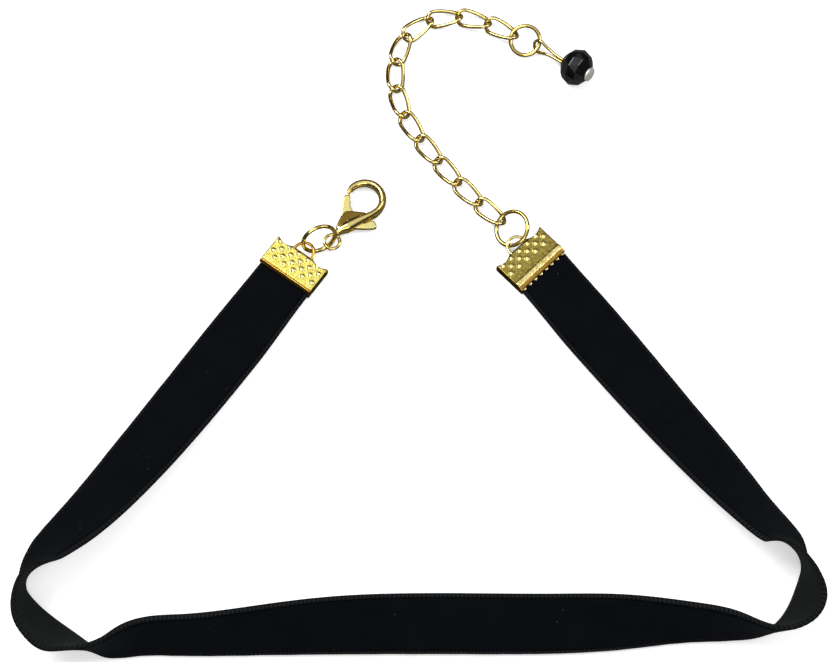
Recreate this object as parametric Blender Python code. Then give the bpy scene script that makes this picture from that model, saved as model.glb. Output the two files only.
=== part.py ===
"""Velvet ribbon choker with gold crimps, a lobster clasp and an extension chain, lying open.

Lengths are millimetres and angles are degrees. build_mesh turns them into Blender's metres.
"""

import math

import bmesh
import bpy
import numpy as np
from mathutils import Matrix, Vector

MM = 0.001
CLEARANCE = 0.1

# Ribbon
RIBBON_WIDTH = 10.0
RIBBON_THICKNESS = 1.0
RIBBON_CHAMFER = 0.25
RIBBON_STATIONS = 120
LOOP_HALF_SPAN = 60.0
LOOP_DEPTH = 63.0
END_EASE_LENGTH = 14.0

# Crimps
CRIMP_WIDTH = 9.6
LEFT_CRIMP_LENGTH = 5.2
LEFT_CRIMP_LIP = 0.7
LEFT_CRIMP_TURN = 0.0
RIGHT_CRIMP_LENGTH = 5.7
RIGHT_CRIMP_LIP = 1.7
RIGHT_CRIMP_TURN = 6.0
CRIMP_SHEET = 0.35
CRIMP_FOLD = 0.7
CRIMP_HOLLOW = 0.45
LIP_RISE = 0.25
TOOTH_COUNT = 8
TOOTH_REACH = 0.35
DOT_RADIUS = 0.36
DOT_RISE = 0.28
DOT_ROW_STEP = 0.9
CRIMP_LOOP_HALF_WIDTH = 1.85
CRIMP_LOOP_REACH = 2.0
CRIMP_LOOP_BAR = 0.5

# Jump rings: outer diameters, and the slack where a link hangs on one
CHAIN_RING_DIAMETER = 6.15
CLASP_RING_DIAMETER = 6.0
DROP_RING_DIAMETER = 5.4
RING_WIRE = 0.65
RING_SLACK = 0.3

# Extension chain
LINK_COUNT = 12
LINK_LENGTH = 6.15
LINK_WIDTH = 3.1
LINK_WIRE = 0.6
LINK_TWIST = -45.0
LINK_SLACK = 0.16

# Lobster clasp
CLASP_LENGTH = 11.9
CLASP_HEIGHT = 2.2
CLASP_EYE_RADIUS = 1.2
CLASP_EYE_WIRE = 0.46
HOOK_RADIUS = 2.85
HOOK_THICKNESS = 1.05
LEVER_THICKNESS = 0.85
LEVER_ARM_WIDTH = 1.0
PIVOT_RADIUS = 0.32
CLASP_BEARING = 61.5

# Drop: bead on a head pin that ends in a teardrop loop
BEAD_DIAMETER = 6.2
BEAD_THICKNESS = 4.6
BEAD_HOLE = 0.9
BEAD_SIDES = 12
PIN_WIRE = 0.5
PIN_HEAD_DIAMETER = 2.4
PIN_HEAD_THICKNESS = 0.4
DROP_LOOP_LENGTH = 6.3
DROP_LOOP_RADIUS = 1.1

# The ribbon's lower edge on the floor, from the left crimp round to the right one.
# across: share of LOOP_HALF_SPAN; along: share of LOOP_DEPTH from the front of the loop;
# lean: degrees from upright, 90 flat with the velvet up, below 0 tipped outwards.
RIBBON_TABLE = (
    {"across": -0.413, "along": 1.003, "lean": 90},
    {"across": -0.587, "along": 0.775, "lean": 88},
    {"across": -0.712, "along": 0.610, "lean": 80},
    {"across": -0.808, "along": 0.484, "lean": 70},
    {"across": -0.910, "along": 0.356, "lean": 56},
    {"across": -0.974, "along": 0.276, "lean": 45},
    {"across": -0.999, "along": 0.219, "lean": 35},
    {"across": -1.000, "along": 0.171, "lean": 16},
    {"across": -0.970, "along": 0.130, "lean": -16},
    {"across": -0.917, "along": 0.087, "lean": -34},
    {"across": -0.846, "along": 0.038, "lean": -30},
    {"across": -0.785, "along": 0.000, "lean": -3},
    {"across": -0.700, "along": -0.001, "lean": 15},
    {"across": -0.583, "along": -0.001, "lean": 21},
    {"across": -0.425, "along": -0.001, "lean": 29},
    {"across": -0.183, "along": 0.000, "lean": 45},
    {"across": 0.083, "along": 0.000, "lean": 50},
    {"across": 0.333, "along": 0.001, "lean": 48},
    {"across": 0.517, "along": 0.012, "lean": 40},
    {"across": 0.697, "along": 0.033, "lean": 19},
    {"across": 0.817, "along": 0.040, "lean": 5},
    {"across": 0.903, "along": 0.066, "lean": -18},
    {"across": 0.944, "along": 0.116, "lean": -27},
    {"across": 0.969, "along": 0.168, "lean": -15},
    {"across": 0.988, "along": 0.222, "lean": 14},
    {"across": 0.984, "along": 0.279, "lean": 35},
    {"across": 0.937, "along": 0.346, "lean": 46},
    {"across": 0.833, "along": 0.483, "lean": 61},
    {"across": 0.730, "along": 0.613, "lean": 70},
    {"across": 0.600, "along": 0.778, "lean": 80},
    {"across": 0.399, "along": 1.024, "lean": 90},
)

# The chain's route on the floor, from the middle of its jump ring, as chosen points.
CHAIN_ROUTE = (
    (-5.5, 4.9),
    (-12.2, 12.5),
    (-17.5, 20.8),
    (-18.5, 28.4),
    (-15.6, 35.0),
    (-11.3, 37.0),
    (-6.6, 36.9),
    (2.3, 32.8),
)

# Clasp outlines from the middle of its eye, as shares of CLASP_LENGTH.
# up: towards the hook's top; side: positive on the lever's closing side.
SPINE_TABLE = (
    {"up": 0.075, "side": -0.005, "width": 0.055, "height": 0.40},
    {"up": 0.160, "side": -0.012, "width": 0.085, "height": 0.72},
    {"up": 0.270, "side": -0.072, "width": 0.155, "height": 1.00},
    {"up": 0.400, "side": -0.155, "width": 0.150, "height": 1.00},
    {"up": 0.530, "side": -0.250, "width": 0.115, "height": 1.00},
    {"up": 0.640, "side": -0.312, "width": 0.100, "height": 0.96},
)
CHEEK_TABLE = (
    {"up": 0.150, "side": 0.040},
    {"up": 0.290, "side": 0.062},
    {"up": 0.425, "side": 0.058},
    {"up": 0.470, "side": 0.020},
    {"up": 0.575, "side": -0.230},
    {"up": 0.520, "side": -0.290},
    {"up": 0.380, "side": -0.200},
    {"up": 0.200, "side": -0.070},
)
PIVOT_UP = 0.350
PIVOT_SIDE = -0.060
HOOK_CENTRE_UP = 0.728
HOOK_CENTRE_SIDE = -0.090
HOOK_TIP_ANGLE = 98.0
HOOK_ROOT_ANGLE = -92.0
TAB_TABLE = (
    {"up": 0.440, "side": -0.170},
    {"up": 0.485, "side": -0.300},
    {"up": 0.505, "side": -0.425},
    {"up": 0.465, "side": -0.440},
    {"up": 0.400, "side": -0.340},
    {"up": 0.320, "side": -0.200},
    {"up": 0.270, "side": -0.100},
)

CLASP_RING_BEARING = 23.0
CLASP_RING_TILT = 71.0
CHAIN_RING_TILT = 29.0
CHAIN_RING_ALONG = 2.85
CHAIN_RING_SIDE = -1.48
CHAIN_RING_RISE_BEARING = 14.0
DROP_RING_TILT = 18.0
DROP_PITCH = 13.5
DROP_TURN = -7.5
DROP_AXIS_TURN = -10.0
DROP_LOOP_ROLL = 62.0

RING_SIDES = 20
LINK_SIDES = 16
WIRE_BEVEL_COUNT = 1

COLLECTION = bpy.context.scene.collection


def clear_scene():
    """Removes whatever the scene holds."""
    for obj in list(bpy.data.objects):
        bpy.data.objects.remove(obj, do_unlink=True)


def make_material(name, colour, roughness, metallic):
    """A Principled material of one colour."""
    material = bpy.data.materials.new(name)
    material.use_nodes = True
    shader = material.node_tree.nodes["Principled BSDF"]
    shader.inputs["Base Color"].default_value = (*colour, 1.0)
    shader.inputs["Roughness"].default_value = roughness
    shader.inputs["Metallic"].default_value = metallic
    return material


def add_object(name, data, material, parent=None, place=Matrix.Identity(4)):
    """Links an object with its material under its parent."""
    obj = bpy.data.objects.new(name, data)
    COLLECTION.objects.link(obj)
    obj.parent = parent
    obj.matrix_local = place
    if material is not None:
        data.materials.append(material)
    return obj


def build_mesh(name, bm):
    """A mesh in metres from a bmesh in millimetres, facing out and shaded smooth."""
    bmesh.ops.recalc_face_normals(bm, faces=bm.faces)
    bmesh.ops.scale(bm, vec=(MM, MM, MM), verts=bm.verts)
    mesh = bpy.data.meshes.new(name)
    bm.to_mesh(mesh)
    bm.free()
    mesh.shade_smooth()
    mesh.set_sharp_from_angle(angle=math.radians(35))
    return mesh


def loft(bm, sections, closed=False):
    """Joins rings of points of one count with quads, and caps the two ends."""
    rings = [[bm.verts.new(point) for point in section] for section in sections]
    pairs = list(zip(rings, rings[1:] + rings[:1])) if closed else list(zip(rings, rings[1:]))
    for ring, after in pairs:
        for index in range(len(ring)):
            other = (index + 1) % len(ring)
            bm.faces.new((ring[index], ring[other], after[other], after[index]))
    if not closed:
        bm.faces.new(rings[0])
        bm.faces.new(rings[-1])


def extrude_outline(bm, outline, low, high):
    """A plate with the given outline between two heights."""
    loft(bm, [[(x, y, z) for x, y in outline] for z in (low, high)])


def wire_curve(name, points, wire, cyclic=True):
    """A wire of round section along points."""
    curve = bpy.data.curves.new(name, "CURVE")
    curve.dimensions = "3D"
    curve.bevel_depth = wire / 2 * MM
    curve.bevel_resolution = WIRE_BEVEL_COUNT
    curve.use_fill_caps = not cyclic
    spline = curve.splines.new("POLY")
    spline.points.add(len(points) - 1)
    for place, point in zip(spline.points, points):
        place.co = (*(Vector(point) * MM), 1.0)
        place.radius = 1.0
    spline.use_cyclic_u = cyclic
    return curve


def helper_object(name, mesh, parent, place=Matrix.Identity(4)):
    """A shape that only a Boolean uses."""
    obj = add_object(name, mesh, None, parent, place)
    obj.hide_render = True
    obj.display_type = "WIRE"
    return obj


def add_boolean(obj, other, operation):
    """Joins or cuts obj with other."""
    modifier = obj.modifiers.new(other.name, "BOOLEAN")
    modifier.operation = operation
    modifier.object = other


def natural_spline(knots, values, places):
    """The natural cubic spline through values, at places along it and straight beyond its ends."""
    knots = np.asarray(knots, float)
    values = np.asarray(values, float)
    count = len(knots)
    steps = np.diff(knots)
    slopes = np.diff(values, axis=0) / steps[:, None]
    system = np.eye(count)
    right = np.zeros_like(values)
    for i in range(1, count - 1):
        system[i, i - 1 : i + 2] = steps[i - 1], 2 * (steps[i - 1] + steps[i]), steps[i]
        right[i] = 6 * (slopes[i] - slopes[i - 1])
    bends = np.linalg.solve(system, right)
    within = np.clip(places, knots[0], knots[-1])
    i = np.clip(np.searchsorted(knots, within, side="right") - 1, 0, count - 2)
    step = steps[i][:, None]
    after = (within - knots[i])[:, None] / step
    before = 1 - after
    cubic = (before**3 - before) * bends[i] + (after**3 - after) * bends[i + 1]
    inside = before * values[i] + after * values[i + 1] + cubic * step**2 / 6
    first = slopes[0] - steps[0] * bends[1] / 6
    last = slopes[-1] + steps[-1] * bends[-2] / 6
    beyond = (np.asarray(places) - within)[:, None]
    return inside + beyond * np.where(beyond < 0, first, last)


def chord_lengths(points):
    """Distance from the first point to each, along the straight runs between them."""
    runs = np.linalg.norm(np.diff(np.asarray(points, float), axis=0), axis=1)
    return np.concatenate([[0.0], np.cumsum(runs)])


def frame_matrix(origin, x_axis, z_axis=(0.0, 0.0, 1.0)):
    """A placing matrix in metres: x_axis is kept, and z_axis is squared to it."""
    x = Vector(x_axis).normalized()
    y = Vector(z_axis).cross(x).normalized()
    z = x.cross(y)
    turn = Matrix((x, y, z)).transposed().to_4x4()
    return Matrix.Translation(Vector(origin) * MM) @ turn


class RibbonShape:
    """The ribbon's middle line, its direction across and its upward side at each station."""

    def __init__(self):
        table = np.array([(row["across"], row["along"], row["lean"]) for row in RIBBON_TABLE])
        table[:, 0] *= LOOP_HALF_SPAN
        table[:, 1] *= LOOP_DEPTH
        knots = chord_lengths(table[:, :2])
        self.places = np.concatenate(
            [
                [-grip(LEFT_CRIMP_LENGTH, LEFT_CRIMP_TURN)],
                np.linspace(0, knots[-1], RIBBON_STATIONS),
                [knots[-1] + grip(RIGHT_CRIMP_LENGTH, RIGHT_CRIMP_TURN)],
            ]
        )
        rows = natural_spline(knots, table, self.places)
        self.foot = rows[:, :2]
        tangent = np.gradient(self.foot, axis=0)
        self.tangent = tangent / np.linalg.norm(tangent, axis=1)[:, None]
        inward = np.stack([-self.tangent[:, 1], self.tangent[:, 0]], axis=1)
        lean = np.radians(np.minimum(rows[:, 2], 90))
        self.across = np.column_stack([inward * np.sin(lean)[:, None], np.cos(lean)])
        self.face = np.column_stack([-inward * np.cos(lean)[:, None], np.sin(lean)])
        from_end = np.minimum(self.places, knots[-1] - self.places)
        ease = np.clip(1 - from_end / END_EASE_LENGTH, 0, 1)
        ease = ease * ease * (3 - 2 * ease)
        self.width = RIBBON_WIDTH + (end_width() - RIBBON_WIDTH) * ease
        lift = (CRIMP_SHEET + CLEARANCE) * ease
        height = RIBBON_THICKNESS / 2 * np.abs(self.face[:, 2]) + lift
        self.low_edge = np.column_stack([self.foot, height])
        inset = (RIBBON_WIDTH - self.width) / 2
        self.low_edge += self.across * inset[:, None]
        self.middle = self.low_edge + self.across * self.width[:, None] / 2

    def section(self, i):
        """The eight corners of the ribbon's section at station i."""
        half = RIBBON_THICKNESS / 2
        side = self.width[i] / 2
        flat = side - RIBBON_CHAMFER
        rise = half - RIBBON_CHAMFER
        corners = (
            (side, rise),
            (flat, half),
            (-flat, half),
            (-side, rise),
            (-side, -rise),
            (-flat, -half),
            (flat, -half),
            (side, -rise),
        )
        return [self.middle[i] + a * self.across[i] + b * self.face[i] for a, b in corners]

    def mouth(self, last):
        """The middle of a crimp's ribbon side on the floor, and the ribbon's heading into it."""
        i = -2 if last else 1
        return self.middle[i][:2], self.tangent[i] if last else -self.tangent[i]


def grip(crimp_length, turn):
    """How far the ribbon reaches into a crimp, clear of its fold."""
    corner = end_width() / 2 * math.sin(math.radians(abs(turn)))
    return crimp_length - CRIMP_FOLD - CLEARANCE - corner


def crimp_frame(mouth, heading, turn, length):
    """A crimp's frame: x away from the ribbon, z up, origin at the middle of its ring side."""
    angle = math.atan2(heading[1], heading[0]) + math.radians(turn)
    outward = np.array([math.cos(angle), math.sin(angle)])
    return frame_matrix((*(mouth + length * outward), 0.0), (*outward, 0.0))


def end_width():
    """The ribbon's width where a crimp holds it."""
    return CRIMP_WIDTH - 2 * CLEARANCE


def crimp_height():
    """Height of a closed crimp over the ribbon it holds."""
    return RIBBON_THICKNESS + 2 * CLEARANCE + 2 * CRIMP_SHEET


def loop_level():
    """Height of the middle of a crimp's loop, just under its top sheet's."""
    return crimp_height() - 0.65 * CRIMP_SHEET


def add_ribbon(shape, material, parent):
    """The velvet ribbon as one closed band."""
    bm = bmesh.new()
    loft(bm, [shape.section(i) for i in range(len(shape.places))])
    return add_object("ribbon", build_mesh("ribbon", bm), material, parent)


def crimp_profile(length, lip):
    """The folded sheet seen from the side: x away from the ribbon, z up."""
    top = crimp_height()
    mouth = -length
    return (
        (mouth, 0.0),
        (0.0, 0.0),
        (0.0, top - CRIMP_SHEET),
        (-CRIMP_SHEET, top),
        (mouth + lip, top),
        (mouth + 0.85 * lip, top + 0.8 * LIP_RISE),
        (mouth + 0.65 * lip, top + LIP_RISE),
        (mouth + 0.45 * lip, top + 0.7 * LIP_RISE),
        (mouth + 0.1 * lip, top - 0.3 * CRIMP_SHEET),
        (mouth, top - 0.6 * CRIMP_SHEET),
        (mouth, top - CRIMP_SHEET),
        (-CRIMP_FOLD, top - CRIMP_SHEET),
        (-CRIMP_FOLD, CRIMP_SHEET),
        (mouth, CRIMP_SHEET),
    )


def add_dots(name, room, parent, place):
    """Raised dots on the crimp's front, in staggered rows over the room there."""
    bm = bmesh.new()
    top = crimp_height()
    rows = int((room - DOT_ROW_STEP / 2) / DOT_ROW_STEP)
    columns = round((CRIMP_WIDTH - DOT_ROW_STEP) / (2 * DOT_ROW_STEP))
    for row in range(rows):
        x = -DOT_ROW_STEP * (row + 0.75)
        stagger = 0.5 * DOT_ROW_STEP * (-1) ** row
        for column in range(columns):
            y = (column - (columns - 1) / 2) * 2 * DOT_ROW_STEP + stagger
            dome = [
                [
                    (x + r * math.cos(turn), y + r * math.sin(turn), top + z)
                    for turn in np.linspace(0, 2 * math.pi, 6, endpoint=False)
                ]
                for r, z in (
                    (DOT_RADIUS, -CRIMP_SHEET / 2),
                    (DOT_RADIUS, 0.02),
                    (0.55 * DOT_RADIUS, DOT_RISE),
                )
            ]
            loft(bm, dome)
    return helper_object(name, build_mesh(name, bm), parent, place)


def add_teeth(name, length, parent, place):
    """Small teeth along the lip that point down to the velvet."""
    bm = bmesh.new()
    low = crimp_height() - CRIMP_SHEET
    step = CRIMP_WIDTH / TOOTH_COUNT
    for number in range(TOOTH_COUNT):
        y = (number - (TOOTH_COUNT - 1) / 2) * step
        tooth = []
        for x, share in ((-length + 0.1, 1.0), (-length - TOOTH_REACH, 0.2)):
            half, rise = 0.3 * share, 0.25 * share
            tooth.append([(x, y - half, low), (x, y + half, low), (x, y, low + rise)])
        loft(bm, tooth)
    return helper_object(name, build_mesh(name, bm), parent, place)


def add_crimp(name, place, length, lip, toothed, material, parent):
    """One ribbon crimp: folded sheet, hollowed ring side, loop and raised dots."""
    profile = crimp_profile(length, lip)
    half = CRIMP_WIDTH / 2
    bm = bmesh.new()
    loft(bm, [[(x, y, z) for x, z in profile] for y in (-half, half)])
    crimp = add_object(name, build_mesh(name, bm), material, parent, place)
    for side in (-1, 1):
        bm = bmesh.new()
        near = side * (CRIMP_LOOP_HALF_WIDTH + 0.1)
        far = side * (half - 0.15)
        outline = [(0.6, near), (0.6, far), (0.0, far)]
        for turn in np.linspace(0.15, 0.85, 4):
            y = far + (near - far) * turn
            outline.append((-CRIMP_HOLLOW * math.sin(math.pi * turn), y))
        outline.append((0.0, near))
        extrude_outline(bm, outline, -1.0, crimp_height() + 1.0)
        cutter = helper_object(f"{name}_hollow_{side}", build_mesh("hollow", bm), parent, place)
        add_boolean(crimp, cutter, "DIFFERENCE")
    bm = bmesh.new()
    root = -0.8 * CRIMP_FOLD
    outer = [(root, -CRIMP_LOOP_HALF_WIDTH)]
    for turn in np.linspace(-85, 85, 13):
        angle = math.radians(turn)
        x, y = CRIMP_LOOP_REACH * math.cos(angle), CRIMP_LOOP_HALF_WIDTH * math.sin(angle)
        outer.append((x, y))
    outer.append((root, CRIMP_LOOP_HALF_WIDTH))
    keep_x = 1 - CRIMP_LOOP_BAR / CRIMP_LOOP_REACH
    keep_y = 1 - CRIMP_LOOP_BAR / CRIMP_LOOP_HALF_WIDTH
    sections = []
    for x, y in outer:
        inner = (x if x < 0 else x * keep_x, y * keep_y)
        low, high = loop_level() - CRIMP_SHEET / 2, loop_level() + CRIMP_SHEET / 2
        sections.append([(x, y, low), (x, y, high), (*inner, high), (*inner, low)])
    loft(bm, sections)
    loop = helper_object(f"{name}_loop", build_mesh("loop", bm), parent, place)
    add_boolean(crimp, loop, "UNION")
    add_boolean(crimp, add_dots(f"{name}_dots", length - lip, parent, place), "UNION")
    if toothed:
        add_boolean(crimp, add_teeth(f"{name}_teeth", length, parent, place), "UNION")
    return crimp


class Ring:
    """A jump ring's place: its middle, the level line across it and its tilt towards the rise."""

    def __init__(self, middle, bearing, tilt, diameter):
        self.radius = (diameter - RING_WIRE) / 2
        self.tilt = math.radians(tilt)
        angle = math.radians(bearing)
        self.level = Vector((math.cos(angle), math.sin(angle), 0))
        self.rise = Vector((-math.sin(angle), math.cos(angle), 0))
        height = RING_WIRE / 2 + self.radius * math.sin(self.tilt)
        self.middle = Vector((middle[0], middle[1], height))

    def offset(self, height, side):
        """From the middle to the wire at a height on the lower half; side is -1 or 1."""
        drop = (height - self.middle.z) / math.sin(self.tilt)
        reach = math.sqrt(self.radius**2 - drop**2)
        return side * reach * self.level + drop * math.cos(self.tilt) * self.rise

    def toward(self, bearing, reach):
        """The point of the ring's plane at a bearing and a reach from the middle."""
        along = math.cos(bearing) * self.level.x + math.sin(bearing) * self.level.y
        aside = math.cos(bearing) * self.rise.x + math.sin(bearing) * self.rise.y
        steep = Vector((self.rise.x, self.rise.y, math.tan(self.tilt)))
        line = along * self.level + aside * steep
        return self.middle + line.normalized() * reach

    def points(self):
        """The wire's middle line."""
        steep = math.cos(self.tilt) * self.rise + math.sin(self.tilt) * Vector((0, 0, 1))
        turns = np.linspace(0, 2 * math.pi, RING_SIDES, endpoint=False)
        return [
            self.middle + self.radius * (math.cos(turn) * self.level + math.sin(turn) * steep)
            for turn in turns
        ]

    def add(self, name, material, parent):
        """Links the ring as a closed wire."""
        curve = wire_curve(name, self.points(), RING_WIRE)
        return add_object(name, curve, material, parent)


def link_points():
    """Middle line of one link: an oval with straight sides, twisted along its length."""
    end_radius = (LINK_WIDTH - LINK_WIRE) / 2
    half = (LINK_LENGTH - LINK_WIRE) / 2
    straight = half - end_radius
    flat = []
    for centre, start in ((straight, -90), (-straight, 90)):
        for turn in np.linspace(start, start + 180, LINK_SIDES // 2 - 1):
            angle = math.radians(turn)
            flat.append((centre + end_radius * math.cos(angle), end_radius * math.sin(angle)))
        flat.append((0.0, end_radius if centre > 0 else -end_radius))
    points = []
    for x, y in flat:
        twist = math.radians(LINK_TWIST) * x / half
        points.append(Vector((x, y * math.cos(twist), y * math.sin(twist))))
    return points


def link_height():
    """Height of a link's middle when it lies on the floor."""
    points = link_points()
    return LINK_WIRE / 2 - min(point.z for point in points)


def chain_contacts(ring):
    """Where the links meet, from the jump ring outwards, at even steps along the route."""
    route = np.array(CHAIN_ROUTE, float) + np.array(ring.middle[:2])
    toward = math.atan2(*(route[0] - np.array(ring.middle[:2]))[::-1])
    first = np.array(ring.toward(toward, ring.radius - (RING_WIRE + RING_SLACK) / 2)[:2])
    route = np.vstack([first, route])
    knots = chord_lengths(route)
    line = natural_spline(knots, route, np.linspace(0, knots[-1] * 1.2, 1500))
    step = LINK_LENGTH - 2 * LINK_WIRE - LINK_SLACK
    contacts = [line[0]]
    for point in line:
        if np.linalg.norm(point - contacts[-1]) >= step and len(contacts) <= LINK_COUNT:
            contacts.append(point)
    return np.array(contacts)


def add_chain(ring, material, parent):
    """The interlocked links. Returns the free contact point and the last link's heading."""
    contacts = chain_contacts(ring)
    runs = np.diff(contacts, axis=0)
    curve = wire_curve("chain_link", link_points(), LINK_WIRE)
    curve.materials.append(material)
    for number, (contact, run) in enumerate(zip(contacts, runs), start=1):
        middle = contact + run / 2
        matrix = frame_matrix((*middle, link_height()), (*run, 0.0))
        add_object(f"chain_link_{number:02d}", curve, None, parent, matrix)
    return Vector(contacts[-1]), Vector(runs[-1]).normalized()


def clasp_point(row):
    """A clasp outline row as millimetres."""
    return row["up"] * CLASP_LENGTH, row["side"] * CLASP_LENGTH


def box_section(middle, across, width, height):
    """Eight corners of a bar's section with cut corners."""
    cut = 0.28 * min(width, height)
    half, rise = width / 2, height / 2
    corners = (
        (half, rise - cut),
        (half - cut, rise),
        (cut - half, rise),
        (-half, rise - cut),
        (-half, cut - rise),
        (cut - half, -rise),
        (half - cut, -rise),
        (half, cut - rise),
    )
    level = Vector((0, 0, CLASP_HEIGHT / 2))
    return [middle + level + a * across + Vector((0, 0, b)) for a, b in corners]


def hook_sections():
    """Sections of the spine and hook, from the neck round to the tip."""
    stations = []
    for row in SPINE_TABLE:
        up, side = clasp_point(row)
        stations.append((up, side, row["width"] * CLASP_LENGTH, row["height"] * CLASP_HEIGHT))
    centre = Vector((HOOK_CENTRE_UP * CLASP_LENGTH, HOOK_CENTRE_SIDE * CLASP_LENGTH, 0))
    turns = np.linspace(HOOK_ROOT_ANGLE, HOOK_TIP_ANGLE, 13)[1:]
    for turn, share in zip(turns, np.linspace(1.0, 0.0, len(turns))):
        angle = math.radians(turn)
        up = centre.x + HOOK_RADIUS * math.cos(angle)
        side = centre.y + HOOK_RADIUS * math.sin(angle)
        width = HOOK_THICKNESS * (0.62 + 0.42 * math.sin(math.pi * (0.15 + 0.6 * share)))
        stations.append((up, side, width, CLASP_HEIGHT * (0.6 + 0.3 * share)))
    middles = np.array([station[:2] for station in stations])
    heading = np.gradient(middles, axis=0)
    sections = []
    for (up, side, width, height), (x, y) in zip(stations, heading):
        across = Vector((-y, x, 0)).normalized()
        sections.append(box_section(Vector((up, side, 0)), across, width, height))
    return sections


def add_clasp_body(place, material, parent):
    """Hook, cheeks and eye as one casting, slotted for the lever."""
    bm = bmesh.new()
    loft(bm, hook_sections())
    body = add_object("clasp_body", build_mesh("clasp_body", bm), material, parent, place)
    cheek = [clasp_point(row) for row in CHEEK_TABLE]
    bm = bmesh.new()
    extrude_outline(bm, cheek, 0.0, CLASP_HEIGHT)
    plate = helper_object("clasp_cheek_shape", build_mesh("cheek", bm), parent, place)
    bevel = plate.modifiers.new("rounded", "BEVEL")
    bevel.width = 0.22 * MM
    bevel.segments = 1
    bevel.limit_method = "ANGLE"
    add_boolean(body, plate, "UNION")
    bm = bmesh.new()
    eye = []
    for turn in np.linspace(0, 360, RING_SIDES, endpoint=False):
        angle = math.radians(turn)
        outward = Vector((math.cos(angle), math.sin(angle), 0))
        ring = []
        for around in np.linspace(0, 2 * math.pi, 6, endpoint=False):
            radius = CLASP_EYE_RADIUS + CLASP_EYE_WIRE / 2 * math.cos(around)
            height = CLASP_HEIGHT / 2 + CLASP_EYE_WIRE / 2 * math.sin(around)
            ring.append(outward * radius + Vector((0, 0, height)))
        eye.append(ring)
    loft(bm, eye, closed=True)
    add_boolean(body, helper_object("clasp_eye_shape", build_mesh("eye", bm), parent, place), "UNION")
    gap = LEVER_THICKNESS / 2 + CLEARANCE
    bm = bmesh.new()
    slot = ((0.235, 0.2), (0.8, 0.2), (0.62, -0.1), (0.54, -0.52), (0.235, -0.52))
    outline = [(up * CLASP_LENGTH, side * CLASP_LENGTH) for up, side in slot]
    extrude_outline(bm, outline, CLASP_HEIGHT / 2 - gap, CLASP_HEIGHT / 2 + gap)
    add_boolean(body, helper_object("clasp_slot", build_mesh("slot", bm), parent, place), "DIFFERENCE")
    bm = bmesh.new()
    extrude_outline(bm, circle(pivot_point(), PIVOT_RADIUS + CLEARANCE, 10), -1.0, CLASP_HEIGHT + 1.0)
    add_boolean(body, helper_object("clasp_hole", build_mesh("hole", bm), parent, place), "DIFFERENCE")
    return body


def pivot_point():
    """The lever's pivot in the clasp's frame."""
    return PIVOT_UP * CLASP_LENGTH, PIVOT_SIDE * CLASP_LENGTH


def circle(middle, radius, sides):
    """Corners of a regular outline."""
    turns = np.linspace(0, 2 * math.pi, sides, endpoint=False)
    return [(middle[0] + radius * math.cos(turn), middle[1] + radius * math.sin(turn)) for turn in turns]


def lever_outline():
    """The lever from above, round its gate arm, tip and thumb tab."""
    pivot = Vector(pivot_point())
    tip_angle = math.radians(HOOK_TIP_ANGLE)
    tip = Vector((HOOK_CENTRE_UP * CLASP_LENGTH, HOOK_CENTRE_SIDE * CLASP_LENGTH))
    tip += HOOK_RADIUS * Vector((math.cos(tip_angle), math.sin(tip_angle)))
    tip.x -= 2 * CLEARANCE
    arm = (tip - pivot).normalized()
    left = Vector((-arm.y, arm.x))
    root_left = pivot + left * 1.25 * LEVER_ARM_WIDTH - arm * 0.4
    gate = [
        root_left,
        pivot + left * 1.25 * LEVER_ARM_WIDTH + arm * 1.2,
        tip + left * 0.35 * LEVER_ARM_WIDTH,
        tip - left * 0.35 * LEVER_ARM_WIDTH,
        pivot + arm * 2.4 - left * 0.25 * LEVER_ARM_WIDTH,
    ]
    return [tuple(point) for point in gate] + [clasp_point(row) for row in TAB_TABLE]


def add_lever(place, material, parent):
    """The spring lever, with its origin on its pivot."""
    x, y = pivot_point()
    bm = bmesh.new()
    outline = [(up - x, side - y) for up, side in lever_outline()][::-1]
    half = LEVER_THICKNESS / 2
    extrude_outline(bm, outline, -half, half)
    pivot = place @ Matrix.Translation(Vector((x, y, CLASP_HEIGHT / 2)) * MM)
    lever = add_object("clasp_lever", build_mesh("clasp_lever", bm), material, parent, pivot)
    bm = bmesh.new()
    extrude_outline(bm, circle((0, 0), PIVOT_RADIUS + CLEARANCE, 10), -CLASP_HEIGHT, CLASP_HEIGHT)
    add_boolean(lever, helper_object("lever_hole", build_mesh("hole", bm), parent, pivot), "DIFFERENCE")
    return lever


def add_clasp_pin(place, material, parent):
    """The rivet that the lever turns on."""
    bm = bmesh.new()
    extrude_outline(bm, circle(pivot_point(), PIVOT_RADIUS, 10), 0.0, CLASP_HEIGHT)
    return add_object("clasp_pin", build_mesh("clasp_pin", bm), material, parent, place)


def bead_rings():
    """Faceted rondelle: rings of corners from one end to the other, each turned half a facet."""
    radius = BEAD_DIAMETER / 2
    half = BEAD_THICKNESS / 2
    return (
        (half, 0.42 * radius, 0.0),
        (0.56 * half, 0.84 * radius, 0.5),
        (0.0, radius, 0.0),
        (-0.56 * half, 0.84 * radius, 0.5),
        (-half, 0.42 * radius, 0.0),
    )


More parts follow.
